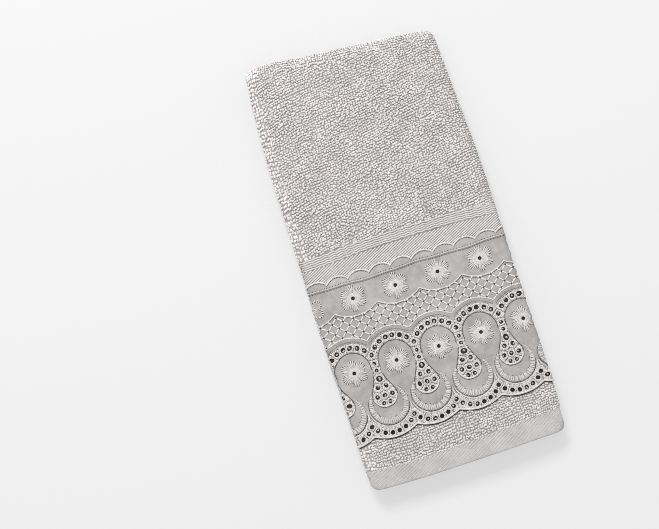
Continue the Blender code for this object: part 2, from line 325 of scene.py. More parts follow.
def repeat_form(form, s, t, h):
    """Copies a form whose point arrays s, t and h have one row for each copy: (points, triangles, flat)."""
    triangles = []
    for face in form[1]:
        for k in range(1, len(face) - 1):
            triangles.append((face[0], face[k], face[k + 1]))
    count, size = s.shape
    starts = (np.arange(count) * size)[:, None, None]
    joined = (np.array(triangles)[None, :, :] + starts).reshape(-1, 3)
    s, t, h = s.reshape(-1), t.reshape(-1), h.reshape(-1)
    return place(s, t, h), joined, points_at(s, t)


def finish_piece(name, parts, material):
    """One piece of the towel from several lots of repeated forms."""
    starts = np.cumsum([0] + [len(part[0]) for part in parts[:-1]])
    faces = np.concatenate([part[1] + start for part, start in zip(parts, starts)])
    points, flat = (np.concatenate([part[k] for part in parts]) for k in (0, 2))
    made = add_piece(name, points, faces, flat)
    made.data.materials.append(material)
    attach(made, "root")
    print(name, len(made.data.polygons), "faces")
    return made


# %% [markdown]
# ## Shader maths
# One small class wraps a node's socket, so that a pattern can be written as an expression. Only what changes
# over a surface goes through nodes: a plain number is set on the shader itself.


# %% Shader helper
class Pattern:
    """A socket in a material's node tree, or none yet. Arithmetic on it adds Math nodes."""

    def __init__(self, tree, socket=None):
        self.tree, self.socket = tree, socket

    def node(self, kind, settings=None, values=None, output=0):
        """Any other node: its settings are set first, then the values or links of its sockets."""
        made = self.tree.nodes.new(kind)
        for key, value in (settings or {}).items():
            setattr(made, key, value)
        for key, value in (values or {}).items():
            if isinstance(value, Pattern):
                self.tree.links.new(value.socket, made.inputs[key])
            else:
                made.inputs[key].default_value = value
        return Pattern(self.tree, made.outputs[output])

    def maths(self, operation, first, second=0.0):
        return self.node("ShaderNodeMath", {"operation": operation}, {0: first, 1: second})

    def __add__(self, other):
        return self.maths("ADD", self, other)

    def __mul__(self, other):
        return self.maths("MULTIPLY", self, other)

    def __sub__(self, other):
        return self.maths("SUBTRACT", self, other)

    def __rsub__(self, other):
        return self.maths("SUBTRACT", other, self)

    __radd__ = __add__
    __rmul__ = __mul__


def start_material(name, roughness, sheen=0.0):
    """A Principled material for dull cotton, and its shader."""
    made = bpy.data.materials.new(name)
    made.use_nodes = True
    shader = made.node_tree.nodes["Principled BSDF"]
    shader.inputs["Roughness"].default_value = roughness
    shader.inputs["Sheen Weight"].default_value = sheen
    shader.inputs["Specular IOR Level"].default_value = 0.2
    return made, shader


def blend_colours(start, mask, low, high):
    """A colour that goes from low to high with the mask."""
    return start.node("ShaderNodeMix", {"data_type": "RGBA"}, {0: mask, 6: (*low, 1.0), 7: (*high, 1.0)}, 2)


def plug(start, value, shader, socket):
    start.tree.links.new(value.socket, shader.inputs[socket])


# %% [markdown]
# ## Finishes
# The towel is undyed cotton in a light warm grey. Terry has a matt, slightly fuzzy yarn, and the ground
# between its loops is painted darker, as painted shade. The trim's cambric is a shade darker and smoother,
# and its embroidery thread is the palest of all. An even colour would look like plastic, because cotton is
# never one even tone.
# So each finish is a Principled material whose colour drifts a little with noise, and the plain cloths have
# their weave in a bump.

# %% Colours of the cotton
PILE_LIGHT = (0.675, 0.648, 0.639)
PILE_DARK = (0.47, 0.450, 0.444)
# painted light: the loops on the rolled left fold are painted lighter, for the light that falls on that fold
ROLL_LIGHT_PAINTED_LIT = (0.76, 0.731, 0.722)
ROLL_DARK_PAINTED_LIT = (0.48, 0.461, 0.454)
# painted shade: the terry's ground between its loops is painted much darker than the loops, for the shade
# there
GROUND_PAINTED_SHADE = (0.345, 0.330, 0.324)
# painted shade: the colour of the terry's ground under the trim, where the trim shades it
SHADE = (0.030, 0.027, 0.025)
# painted shade: the woven band's ground between its ribs is painted dark, for the shade in the gaps
BETWEEN_RIBS_PAINTED_SHADE = (0.24, 0.23, 0.223)
RIB = (0.565, 0.545, 0.533)
HEM_CLOTH = (0.44, 0.423, 0.412)
CAMBRIC = (0.338, 0.322, 0.313)
THREAD = (0.68, 0.664, 0.650)
# painted shadow: the dark colour of the lines along stitched edges, for the shadow beside the raised stitches
SHADOW_LINE_PAINTED = (0.14, 0.132, 0.127)
SATIN = (0.52, 0.506, 0.494)
# painted shade: the towel's yarn seen through the eyelets is painted darker than its loops, for the shade
# under the trim
INNER_YARN_PAINTED_SHADE = (0.50, 0.482, 0.47)
# painted shadow: the strip between an arch's cord and its worked band is painted darker, for the shade in
# that gap
SOFT_SHADOW = (0.315, 0.300, 0.291)
NEEDLE_DARK = (0.05, 0.045, 0.042)
print("the cambric is", round(CAMBRIC[0] / PILE_LIGHT[0], 2), "times as bright as the lightest loops")


# %% Tones that drift
def toned(colour, share):
    """A colour at a share of its brightness."""
    return tuple(channel * share for channel in colour)


def noise_on(start, scale):
    """Soft noise through the whole piece, about scale patches to a metre."""
    coordinates = start.node("ShaderNodeTexCoord", output="Object")
    return start.node("ShaderNodeTexNoise", {}, {"Vector": coordinates, "Scale": scale})


def drifting_tone(start, *noises):
    """A tone that drifts round one half over the cloth. Each noise is (scale, strength)."""
    tone = 0.5 - sum(strength for scale, strength in noises) / 2
    for scale, strength in noises:
        tone = noise_on(start, scale) * strength + tone
    return tone


# %% Yarn and thread
FUZZ_SCALE = 4000.0
FUZZ_DEPTH = 0.0001


def yarn_material(name, low, high, patch_scale, strand_scale, roughness):
    """Soft cotton whose tone drifts from patch to patch and from strand to strand."""
    made, shader = start_material(name, roughness, sheen=0.1)
    start = Pattern(made.node_tree)
    tone = drifting_tone(start, (patch_scale, 1.0), (3 * patch_scale, 1.5), (strand_scale, 0.8))
    plug(start, blend_colours(start, tone, low, high), shader, "Base Color")
    fuzz = noise_on(start, FUZZ_SCALE)
    bump = start.node("ShaderNodeBump", {}, {"Strength": 0.35, "Distance": FUZZ_DEPTH, "Height": fuzz})
    plug(start, bump, shader, "Normal")
    return made


pile = yarn_material("terry_loops", PILE_DARK, PILE_LIGHT, 50, 700, 0.95)
# a lit copy of the loops' material, its extra lightness painted light
roll_pile_painted_lit = yarn_material("left_fold_loops_painted_light", ROLL_DARK_PAINTED_LIT, ROLL_LIGHT_PAINTED_LIT, 50, 700, 0.95)
thread = yarn_material("embroidery_thread", toned(THREAD, 0.72), toned(THREAD, 1.08), 300, 900, 0.65)
rib_cloth = yarn_material("woven_ribs", toned(RIB, 0.86), RIB, 120, 900, 0.85)
hem_rib_cloth = yarn_material("hem_ribs", toned(HEM_CLOTH, 0.97), toned(HEM_CLOTH, 1.1), 120, 900, 0.85)
satin_thread = yarn_material("satin_thread", toned(SATIN, 0.84), toned(SATIN, 1.06), 300, 900, 0.6)
flower_thread = yarn_material("flower_thread", toned(THREAD, 0.62), toned(THREAD, 0.90), 300, 900, 0.6)
# its darker colour is painted shade
inner_yarn = yarn_material("yarn_in_shade", toned(INNER_YARN_PAINTED_SHADE, 0.7), INNER_YARN_PAINTED_SHADE, 200, 900, 0.95)
print("yarns:", [made.name for made in (pile, roll_pile_painted_lit, thread, rib_cloth, satin_thread, inner_yarn)])

# %% Plain cloths
WAVE_PERIOD = 0.3125  # length of one wave of the Wave Texture at a scale of 1
PATCHES = ((45, 1.6), (230, 1.2))  # (scale, strength) of the faint patches in a plain cloth's colour
FIBRE_SCALE = 900.0


def plain_cloth_material(name, colour, roughness, weave_pitch, weave_depth):
    """Cloth with a plain weave in its bump, and faint patches in its colour."""
    made, shader = start_material(name, roughness)
    start = Pattern(made.node_tree)
    tone = drifting_tone(start, *PATCHES)
    drifting = blend_colours(start, tone, toned(colour, 0.78), toned(colour, 1.20))
    plug(start, drifting, shader, "Base Color")
    weave = {"Vector": start.node("ShaderNodeTexCoord", output="UV"), "Scale": WAVE_PERIOD / weave_pitch}
    warp, weft = (
        start.node("ShaderNodeTexWave", {"wave_type": "BANDS", "bands_direction": direction}, weave, "Fac")
        for direction in ("X", "Y")
    )
    height = warp * weft + noise_on(start, FIBRE_SCALE) * 0.5
    bump = start.node("ShaderNodeBump", {}, {"Strength": 0.5, "Distance": weave_depth, "Height": height})
    plug(start, bump, shader, "Normal")
    return made


# its colour is painted shade between the loops
ground = plain_cloth_material("terry_ground", GROUND_PAINTED_SHADE, 0.95, 0.0012, 0.0003)
# its dark colour is painted shade between the ribs
band_cloth = plain_cloth_material("band_ground_painted_shade", BETWEEN_RIBS_PAINTED_SHADE, 0.95, 0.0008, 0.0001)
hem_cloth = plain_cloth_material("hem_cloth", HEM_CLOTH, 0.9, 0.0006, 0.00008)
cambric = plain_cloth_material("cambric", CAMBRIC, 0.85, 0.0005, 0.00006)
# its dark colour is painted shadow
painted_shadow = plain_cloth_material("painted_shadow_line", SHADOW_LINE_PAINTED, 1.0, 0.0005, 0.00002)
# its darker colour is painted shadow, on a flat strip that is not sunk
soft_shadow = plain_cloth_material("painted_soft_shadow", SOFT_SHADOW, 1.0, 0.0005, 0.00002)
plain_cloths = (ground, band_cloth, hem_cloth, cambric, painted_shadow, soft_shadow)
print("plain cloths:", [made.name for made in plain_cloths])

# %% Cloth that the trim lies over
SHADE_LAP = 0.0016  # the painted shade starts this far outside the trim's scalloped edge, as a painted shadow of that edge
SHADE_SHARPNESS = 1500.0


def under_trim_material(name):
    """The terry's ground, with deep shade painted into its colour from the trim's scalloped edge on."""
    made, shader = start_material(name, 1.0)
    start = Pattern(made.node_tree)
    flat = {0: start.node("ShaderNodeTexCoord", output="UV")}
    across, along = (start.node("ShaderNodeSeparateXYZ", {}, flat, axis) for axis in ("X", "Y"))
    share = (across - DROP_AXIS) * (1 / REPEAT)
    away = share - share.maths("ROUND", share)
    edge = away * away * (4 * SCALLOP_DEPTH) + (TRIM_LOW - SHADE_LAP)
    shade = start.node("ShaderNodeClamp", {}, {0: (along - edge) * SHADE_SHARPNESS})
    plug(start, blend_colours(start, shade, GROUND_PAINTED_SHADE, SHADE), shader, "Base Color")
    return made


shaded = under_trim_material("cloth_under_trim_painted_shade")
needle_dark, needle_shader = start_material("needle_hole", 1.0)
needle_shader.inputs["Base Color"].default_value = (*NEEDLE_DARK, 1.0)
print("dark finishes:", shaded.name, needle_dark.name)

# %% [markdown]
# ## The ground cloth
# The real towel is one woven ground with loops standing on both sides, plain bands and turned hems. Here it
# is a flat grid, extruded once for its thickness and then folded. Solidify would give one even thickness,
# but this cloth is thinner at its hems and bands, so both sides are placed by the thickness table.

# %% Grid lines of the ground cloth
LOOP_STAND = 0.0011  # how far the loops stand above the ground
LOOPED = FOLD_END + 0.003  # loops stand on the face as far across as this
STRIP_HIGH = TRIM_LOW + SCALLOP_DEPTH  # the terry above the hem reaches into the trim's cusps
PLAIN_HIGH = BAND_LOW - 0.008  # the cloth shows above the trim from here on
PILE_LOW = BAND_HIGH + 0.0006
PILE_END = CLOTH_LENGTH - HEM_HEIGHT - 0.0006


def lines(*stops):
    """Places from the first stop on: each later stop is (place, number of steps to it)."""
    places = [stops[0]]
    for stop, count in stops[1:]:
        places.extend(np.linspace(places[-1], stop, count + 1)[1:])
    return np.array(places)


cloth_columns = lines(
    CLOTH_LEFT,
    (-FOLD_END - TUCK, 10),
    (-FOLD_END, 5),
    (-HALF_PANEL, 10),
    (HALF_PANEL, 26),
    (FOLD_END, 10),
    (FOLD_END + 0.004, 2),
    (CLOTH_RIGHT, 10),
)
HEM_ROUND = HEM / 2
cloth_rows = lines(
    0.0,
    (HEM_ROUND / 4, 1),
    (HEM_ROUND, 2),
    (CORNER, 4),
    (HEM_HEIGHT - STEP, 4),
    (HEM_HEIGHT + STEP, 2),
    (TRIM_LOW - 4 * STEP, 4),
    (TRIM_LOW - STEP, 2),
    (STRIP_HIGH, 3),
    (STRIP_HIGH + STEP, 1),
    (PLAIN_HIGH, 16),
    (BAND_LOW - STEP, 3),
    (BAND_LOW + STEP, 2),
    (BAND_HIGH - STEP, 3),
    (BAND_HIGH + STEP, 2),
    (FRONT_RUN, 16),
    (FRONT_RUN + TOP_ARC, 12),
    (CLOTH_LENGTH - HEM_HEIGHT - STEP, 26),
    (CLOTH_LENGTH - HEM_HEIGHT + STEP, 2),
    (CLOTH_LENGTH - CORNER, 2),
    (CLOTH_LENGTH - HEM_ROUND, 3),
    (CLOTH_LENGTH, 3),
)
print(len(cloth_columns), "columns and", len(cloth_rows), "rows")


# %% Heights of the ground cloth
def half_thickness(t):
    """Half of the cloth's thickness, rounded off at the two hems' folded edges."""
    from_edge = np.clip(np.minimum(t, CLOTH_LENGTH - t), 0, HEM_ROUND) / HEM_ROUND
    return thickness(t) / 2 * np.sqrt(np.clip(1 - (1 - from_edge) ** 2, 0.04, 1))


def between(low, high, t):
    """1 between two levels, 0 outside them, with a short slope at each."""
    return smoothstep(low - STEP, low + STEP, t) * (1 - smoothstep(high - STEP, high + STEP, t))


def face_height(s, t):
    """Height of the ground's face: lower where loops stand on it."""
    looped = between(HEM_HEIGHT, STRIP_HIGH + STEP, t) + between(BAND_HIGH, CLOTH_LENGTH - HEM_HEIGHT, t)
    looped = np.where(abs(s) < LOOPED, looped, 0)
    return half_thickness(t) * (1 - looped) + (TERRY / 2 - LOOP_STAND) * looped


print(f"the ground's face: {face_height(0.0, FRONT_RUN) * 1000:.2f} mm above the cloth's middle, under loops")


# %% Model the ground cloth
steps_across, steps_along = len(cloth_columns) - 1, len(cloth_rows) - 1
bpy.ops.mesh.primitive_grid_add(x_subdivisions=steps_across, y_subdivisions=steps_along, size=1)
cloth = bpy.context.object
cloth.name = cloth.data.name = "terry_ground"
bpy.ops.object.mode_set(mode="EDIT")
bpy.ops.mesh.select_all(action="SELECT")
bpy.ops.mesh.extrude_region_move(TRANSFORM_OT_translate={"value": (0, 0, 1)})
bpy.ops.mesh.select_all(action="SELECT")
bpy.ops.mesh.normals_make_consistent(inside=False)
bpy.ops.object.mode_set(mode="OBJECT")
print("extruded grid:", len(cloth.data.vertices), "points")

# %% Place it by the tables
grid = np.array([vert.co for vert in cloth.data.vertices])
grid_s = cloth_columns[np.round((grid[:, 0] + 0.5) * steps_across).astype(int)]
grid_t = cloth_rows[np.round((grid[:, 1] + 0.5) * steps_along).astype(int)]
grid_h = np.where(grid[:, 2] > 0.5, face_height(grid_s, grid_t), -half_thickness(grid_t))
cloth_points = place(grid_s, grid_t, grid_h)
cloth.data.vertices.foreach_set("co", cloth_points.astype(np.float32).reshape(-1))
cloth_corners = np.array([loop.vertex_index for loop in cloth.data.loops])
cloth_flat = points_at(grid_s, grid_t)[cloth_corners]
cloth_map = cloth.data.uv_layers[0]
cloth_map.name = "cloth"
cloth_map.data.foreach_set("uv", cloth_flat.astype(np.float32).reshape(-1))
cloth.data.update()
print("folded cloth from", cloth_points.min(axis=0), "to", cloth_points.max(axis=0))

# %% Finish the ground cloth
finishes = [ground, hem_cloth, band_cloth, shaded]
for finish in finishes:
    cloth.data.materials.append(finish)
for face in cloth.data.polygons:
    middle = np.mean([grid_t[k] for k in face.vertices])
    finish = ground
    if min(middle, CLOTH_LENGTH - middle) < HEM_HEIGHT:
        finish = hem_cloth
    elif PLAIN_HIGH < middle < BAND_HIGH:
        finish = band_cloth
    elif HEM_HEIGHT + STEP < middle < PLAIN_HIGH:
        finish = shaded
    face.material_index = finishes.index(finish)
pick(cloth)
bpy.ops.object.shade_smooth_by_angle(angle=math.radians(50))
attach(cloth, "root")
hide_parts("terry_cloth")
print("ground cloth:", len(cloth.data.polygons), "faces")

# %% [markdown]
# ## The pile
# Terry is woven with a slack second warp that stands up in loops on both sides. From a step away it reads as
# short pale dashes with dark between them, in rows across the cloth. The front was pulled a little askew, so
# its rows climb to the right. A bump map would look flat along the folds, so each loop that shows is a real
# arch of yarn: half of a torus, cut with bisect, and laid out in rows.

# %% Model one loop
LOOP_SPAN = 0.00050  # middle of the yarn to the middle of the arch
YARN = 0.00056  # radius of the yarn


def model_loop(segments, sides):
    """Half of a torus, open side down, with its two feet closed."""
    deselect()
    bpy.ops.mesh.primitive_torus_add(
        major_segments=segments,
        minor_segments=sides,
        major_radius=LOOP_SPAN,
        minor_radius=YARN,
        rotation=(math.pi / 2, 0, 0),
    )
    arch = bpy.context.object
    bpy.ops.object.transform_apply(location=False, rotation=True, scale=False)
    bpy.ops.object.mode_set(mode="EDIT")
    bpy.ops.mesh.select_all(action="SELECT")
    cut = {"plane_co": (0, 0, 0), "plane_no": (0, 0, 1), "threshold": 1e-5}
    bpy.ops.mesh.bisect(use_fill=True, clear_inner=True, **cut)
    bpy.ops.mesh.select_all(action="SELECT")
    bpy.ops.mesh.normals_make_consistent(inside=False)
    bpy.ops.object.mode_set(mode="OBJECT")
    return take_form(arch)


fine_loop = model_loop(8, 5)
coarse_loop = model_loop(6, 3)
print("one loop:", len(fine_loop[0]), "points,", len(fine_loop[1]), "faces")

# %% Rows of loops
LOOP_ACROSS = 0.00194
LOOP_ALONG = 0.00200
FRONT_CLIMB = 0.2  # slope of the front's rows
ROLL_START = -HALF_PANEL + 0.0045  # left of this line the loops stand upright along the rolled fold
SWING = 0.34  # share of a loop's spacing by which whole patches leave their rows
SPREAD_ACROSS, SPREAD_ALONG = 0.15, 0.13  # and by which each loop does, by itself
LOST = 0.012  # share of the loops that are missing


def drift(s, t, number):
    """A slow, irregular swing between -1 and 1 over the cloth, so that neighbours lean alike."""
    across = np.sin(s / 0.0043 + number + 1.5 * np.sin(t / 0.0091 + 2 * number))
    along = np.sin(t / 0.0052 + 3 * number + 1.5 * np.sin(s / 0.0077 + number))
    return (across + along) / 2


def loop_places(s_low, s_high, t_low, t_high, across=LOOP_ACROSS, along=LOOP_ALONG, climb=0.0):
    """Rows of places for loops, each a little off its row. The rows climb to the right by that slope."""
    count_s, count_t = round((s_high - s_low) / across), round((t_high - t_low) / along)
    s, t = np.meshgrid(
        s_low + (np.arange(count_s) + 0.5) * (s_high - s_low) / count_s,
        t_low + (np.arange(count_t) + 0.5) * (t_high - t_low) / count_t,
    )
    t = t_low + (t - t_low + climb * s) % (t_high - t_low)
    s, t = (
        s + SWING * across * drift(s, t, 1) + chance.normal(0, SPREAD_ACROSS * across, s.shape),
        t + SWING * along * drift(s, t, 2) + chance.normal(0, SPREAD_ALONG * along, t.shape),
    )
    kept = chance.uniform(size=s.shape) > LOST
    return s[kept], t[kept]


def beside_band(s, t):
    """Rows near the woven band hang down with it."""
    return t - band_sag(s) * (1 - smoothstep(PILE_LOW, PILE_LOW + 0.05, t))


print(f"a loop every {LOOP_ACROSS * 1000:.2f} mm across and every {LOOP_ALONG * 1000:.2f} mm along")

# %% Stand loops on their places
LOOP_WIDE = 1.52  # a loop's yarn spreads to this many times its own width
TURN_SWING, TURN_SPREAD = 0.7, 0.46  # how far loops turn with their neighbours, and each by itself
LEAN_SWING, LEAN_SPREAD = 0.45, 0.25
LOOP_FOOT = 0.0001  # the lowest that a loop's foot may stand above the cloth's middle


def lay_loops(name, form, s, t, size=1.0, stretch=1.08, turn=0.32, top=None, cap=None, material=pile):
    """Stands a loop on each place, with its own turn, lean and height, none higher than the cap."""
    count = len(s)
    turn = (turn + TURN_SWING * drift(s, t, 3) + chance.normal(0, TURN_SPREAD, count))[:, None]
    length = size * stretch * chance.uniform(0.85, 1.2, count)[:, None]
    tall = size * chance.uniform(0.80, 1.15, count)[:, None]
    lean_s, lean_t = chance.normal(0, LEAN_SPREAD, (2, count, 1))
    lean_s = lean_s + LEAN_SWING * drift(s, t, 4)[:, None]
    lean_t = lean_t + LEAN_SWING * drift(s, t, 5)[:, None]
    x, y, z = (form[0][:, k][None, :] for k in range(3))
    off_s = length * x * np.cos(turn) - LOOP_WIDE * size * y * np.sin(turn) + lean_s * z
    off_t = length * x * np.sin(turn) + LOOP_WIDE * size * y * np.cos(turn) + lean_t * z
    top = half_thickness(t) if top is None else np.full(count, top)
    foot = np.maximum(top - (LOOP_SPAN + YARN) * size, LOOP_FOOT)[:, None]
    height = foot + z * tall
    if cap is not None:
        height = np.minimum(height, cap)
    loops = repeat_form(form, s[:, None] + off_s, t[:, None] + off_t, height)
    return finish_piece(name, [loops], material)


# %% Loops on the front and the top fold
FACE = TERRY / 2
upper_middle = (PILE_LOW + FRONT_RUN) / 2
for part, t_low, t_high in (("lower", PILE_LOW, upper_middle), ("upper", upper_middle, FRONT_RUN)):
    s, t = loop_places(ROLL_START, HALF_PANEL, t_low, t_high, climb=FRONT_CLIMB)
    lay_loops("pile_" + part, fine_loop, s, beside_band(s, t), top=FACE)
s, t = loop_places(ROLL_START, HALF_PANEL, FRONT_RUN, FRONT_RUN + TOP_ARC)
lay_loops("pile_top_fold", fine_loop, s, t)

# %% Loops on the strip above the hem
STRIP_LOW = HEM_HEIGHT - 0.0004
TRIM_CLEAR = 0.0014  # the loops stop this far short of the trim's scallops
s, t = loop_places(ROLL_START, LOOPED, STRIP_LOW, STRIP_HIGH)
free = t < TRIM_LOW + SCALLOP_DEPTH * scallop(s, REPEAT) - TRIM_CLEAR
lay_loops("pile_strip", fine_loop, s[free], t[free], top=FACE)

# %% Loops on the side folds and the back
ROLL_SPACING = (0.0022, 0.0029)
BACK_SPACING = (0.0028, 0.0028)  # the underside hardly shows, so its loops are larger and fewer
s, t = loop_places(HALF_PANEL, LOOPED, PILE_LOW, PILE_END)
lay_loops("pile_right_fold", coarse_loop, s, beside_band(s, t), top=FACE, cap=FACE)
runs = ((STRIP_LOW, TRIM_LOW), (PILE_LOW, PILE_END))
rolls = [loop_places(-LOOPED, ROLL_START, *run, *ROLL_SPACING) for run in runs]
s, t = (np.concatenate(places) for places in zip(*rolls))
t = np.where(t > PILE_LOW, beside_band(s, t), t)
# the loops on the left fold take the material with painted light
upright = {"size": 1.1, "stretch": 1.45, "turn": math.pi / 2 - 0.1, "material": roll_pile_painted_lit}
lay_loops("pile_left_fold", fine_loop, s, t, top=FACE, cap=FACE, **upright)
s, t = loop_places(-HALF_PANEL, HALF_PANEL, FRONT_RUN + TOP_ARC, PILE_END, *BACK_SPACING)
lay_loops("pile_back", coarse_loop, s, t, size=1.2, cap=FACE)

# %% [markdown]
# ## Woven ribs
# Above the trim the cloth is woven without loops: a few wavy cross ribs, and below them a stripe of twill.
# The hem is a fainter twill, turned under. A rib could be a wave in a bump, but then the dark gaps between
# ribs would have no depth. So each rib is a row of short rounded strips laid on a ground whose darker colour
# is painted shade, and it folds round the sides with the cloth. The strips are the same form as the trim's
# stitches.

# %% Model one stitch
STITCH_END = 0.12  # share of a stitch's length in which it narrows at each end
STITCH_TIP = 0.45  # share of its width that is left at the very end


def model_stitch(sides):
    """A rounded strip from 0 to 1 along x, one unit wide and one high, narrower at its two ends."""
    deselect()
    bpy.ops.mesh.primitive_cylinder_add(
        vertices=sides,
        radius=0.5,
        depth=1 - 2 * STITCH_END,
        rotation=(0, math.pi / 2, 0),
    )
    stitch = bpy.context.object
    bpy.ops.object.transform_apply(location=False, rotation=True, scale=False)
    for end in (-1, 1):
        bpy.ops.object.mode_set(mode="EDIT")
        bpy.ops.mesh.select_mode(type="FACE")
        bpy.ops.mesh.select_all(action="DESELECT")
        bpy.ops.object.mode_set(mode="OBJECT")
        for face in stitch.data.polygons:
            face.select = face.normal.x * end > 0.9
        bpy.ops.object.mode_set(mode="EDIT")
        bpy.ops.mesh.extrude_region_move(TRANSFORM_OT_translate={"value": (end * STITCH_END, 0, 0)})
        bpy.ops.transform.resize(value=(1, STITCH_TIP, STITCH_TIP))
        bpy.ops.object.mode_set(mode="OBJECT")
    bpy.ops.object.mode_set(mode="EDIT")
    bpy.ops.mesh.select_all(action="SELECT")
    bpy.ops.transform.translate(value=(0.5, 0, 0.5))
    bpy.ops.object.mode_set(mode="OBJECT")
    return take_form(stitch)


stitch_form = model_stitch(4)
rib_form = model_stitch(6)
print("one stitch:", len(stitch_form[0]), "points,", len(stitch_form[1]), "faces")


# %% Lay stitches between pairs of points
def lay_stitches(form, starts, ends, width, height, base, end_width=None):
    """Stitches from starts to ends on the flat cloth. base gives the height of what they stand on."""
    starts, ends = np.array(starts), np.array(ends)
    run = ends - starts
    length = np.hypot(run[:, 0], run[:, 1])[:, None]
    along = run / np.maximum(length, 1e-9)
    a, b, c = (form[0][:, k][None, :] for k in range(3))
    end_width = width if end_width is None else end_width
    wide = np.reshape(width, (-1, 1)) * (1 - a) + np.reshape(end_width, (-1, 1)) * a
    s = starts[:, :1] + along[:, :1] * a * length - along[:, 1:] * b * wide
    t = starts[:, 1:] + along[:, 1:] * a * length + along[:, :1] * b * wide
    return repeat_form(form, s, t, base(s, t) + c * np.reshape(height, (-1, 1)))


def in_cloth(sink):
    """Base of stitches that are sunk so far into the towel's own face."""
    return lambda s, t: half_thickness(t) - sink


# %% The woven band's cross ribs
RIB_COUNT = 5
RIB_PITCH = 0.00172
RIB_PIECE = 0.0018  # length of one strip
RIB_WIDE, RIB_HIGH, RIB_SINK = 0.00132, 0.00085, 0.0004
GROOVE = 0.1893  # level of the groove between the twill and the cross ribs
RIB_WAVE = 0.0070
RIB_SWING, RIB_SWELL = 0.00017, 0.00022  # the least swing of that wave, and how much it grows by places
SLOW_SWING = 0.0004
RIB_UNEVEN = 0.00007

ribs = []
rib_s = np.arange(-LOOPED, LOOPED, RIB_PIECE)
for number in range(RIB_COUNT):
    level = GROOVE + (number + 0.5) * RIB_PITCH
    swing = RIB_SWING + RIB_SWELL * np.sin(rib_s / 0.019 + 0.7) ** 2
    wave = swing * np.sin(rib_s / RIB_WAVE * 2 * math.pi + 0.2 * number)
    wave = wave + SLOW_SWING * np.sin(rib_s / 0.031 + 1.0) + chance.normal(0, RIB_UNEVEN, len(rib_s))
    path = points_at(rib_s, level + wave - band_sag(rib_s))
    lap = (path[1:] - path[:-1]) * 0.25
    starts, ends = path[:-1] - lap, path[1:] + lap
    ribs.append(lay_stitches(rib_form, starts, ends, RIB_WIDE, RIB_HIGH, in_cloth(RIB_SINK)))
print(RIB_COUNT, "cross ribs above", GROOVE)


# %% Twill
TWILL_PIECES = 14  # strips to a rib of the twill
TWILL_LAP = 0.2 / TWILL_PIECES  # share of a rib by which a strip runs over at each end
SHORTEST = 0.15  # a strip that is cut off shorter than this share is left out


def no_sag(s):
    return np.zeros_like(s)


def twill(t_low, t_high, pitch, angle, width, height, sink, form, sag=no_sag, mirrored=False):
    """Ribs that climb to the right from a low level to a high one, which sags at the sides."""
    rise = t_high - t_low
    reach = rise / math.tan(math.radians(angle))
    feet = np.arange(-LOOPED - reach, LOOPED, pitch)
    cuts = np.linspace(0, 1, TWILL_PIECES + 1)
    made = []
    for low, high in zip(cuts[:-1], cuts[1:]):
        low, high = max(low - TWILL_LAP, 0), min(high + TWILL_LAP, 1)
        starts, ends = (
            points_at(feet + share * reach, np.full_like(feet, t_low + share * rise)) for share in (low, high)
        )
        inside = (abs(starts[:, 0]) < LOOPED) & (abs(ends[:, 0]) < LOOPED)
        starts, ends = starts[inside], ends[inside]
        limit = t_high - sag(starts[:, 0])
        share = np.clip((limit - starts[:, 1]) / (ends[:, 1] - starts[:, 1]), 0, 1)[:, None]
        ends = starts + (ends - starts) * share
        long = share[:, 0] > SHORTEST
        starts, ends = starts[long], ends[long]
        if mirrored:
            starts[:, 1], ends[:, 1] = CLOTH_LENGTH - starts[:, 1], CLOTH_LENGTH - ends[:, 1]
        starts[:, 1] += chance.normal(0, 0.00006, len(starts))
        swell = chance.uniform(0.86, 1.10, len(starts))
        made.append(lay_stitches(form, starts, ends, width * swell, height, in_cloth(sink)))
    return made


# %% The woven band's twill
HEADING_DEPTH = 0.0043
BAND_TWILL = {"pitch": 0.0036, "angle": 26.6, "width": 0.00126, "height": RIB_HIGH, "sink": RIB_SINK}
BAND_TWILL.update(form=rib_form, sag=band_sag)
TWILL_LOW = TRIM_HIGH - HEADING_DEPTH - 0.002  # it starts under the trim's heading
ribs += twill(TWILL_LOW, GROOVE - 0.0006, **BAND_TWILL)
woven_ribs = finish_piece("woven_band_ribs", ribs, rib_cloth)

# %% The hems' twill
HEM_TWILL = {"pitch": 0.0044, "angle": 29, "width": 0.00172, "height": 0.00040, "sink": 0.00030}
HEM_TWILL.update(form=stitch_form)
HEM_EDGE = 0.0005
FRONT_HEM_TOP, BACK_HEM_TOP = HEM_HEIGHT - 0.0003, HEM_HEIGHT - 0.0012
hem_ribs = twill(HEM_EDGE, FRONT_HEM_TOP, **HEM_TWILL)
hem_ribs += twill(HEM_EDGE, BACK_HEM_TOP, **HEM_TWILL, mirrored=True)
hem_twill = finish_piece("hem_twill", hem_ribs, hem_rib_cloth)

# %% [markdown]
# ## The trim's cambric
# Broderie anglaise is a plain cotton strip in which small holes are cut and worked round with thread. The
# strip is cut here as flat shapes: its scalloped outline and its holes go through Blender's own
# triangulation together with the lines of the side folds, so that it bends where the cloth does. Cutting 300
# holes with Boolean would be slow and leave long thin faces. Between the stitched lines the real cambric
# puffs up a little, so its face has a few soft waves, and everything that is worked on it rides on the same
# waves.

# %% Chart of the trim
TRIM_GAP = 0.00035
CAMBRIC_THICK = 0.00030
TRIM_END = 0.003  # the trim stops this far short of the cloth's side edges
SHOWN = FOLD_END + 0.006  # the embroidery is worked as far across as this
# Radii of the holes
EYELET = 0.0019
BIG_EYELET = 0.0026
NECK_EYELET = 0.00160
LOW_EYELET = 0.00175
FLOWER_EYELET = 0.00168
ARCH_EYELET = 0.00205
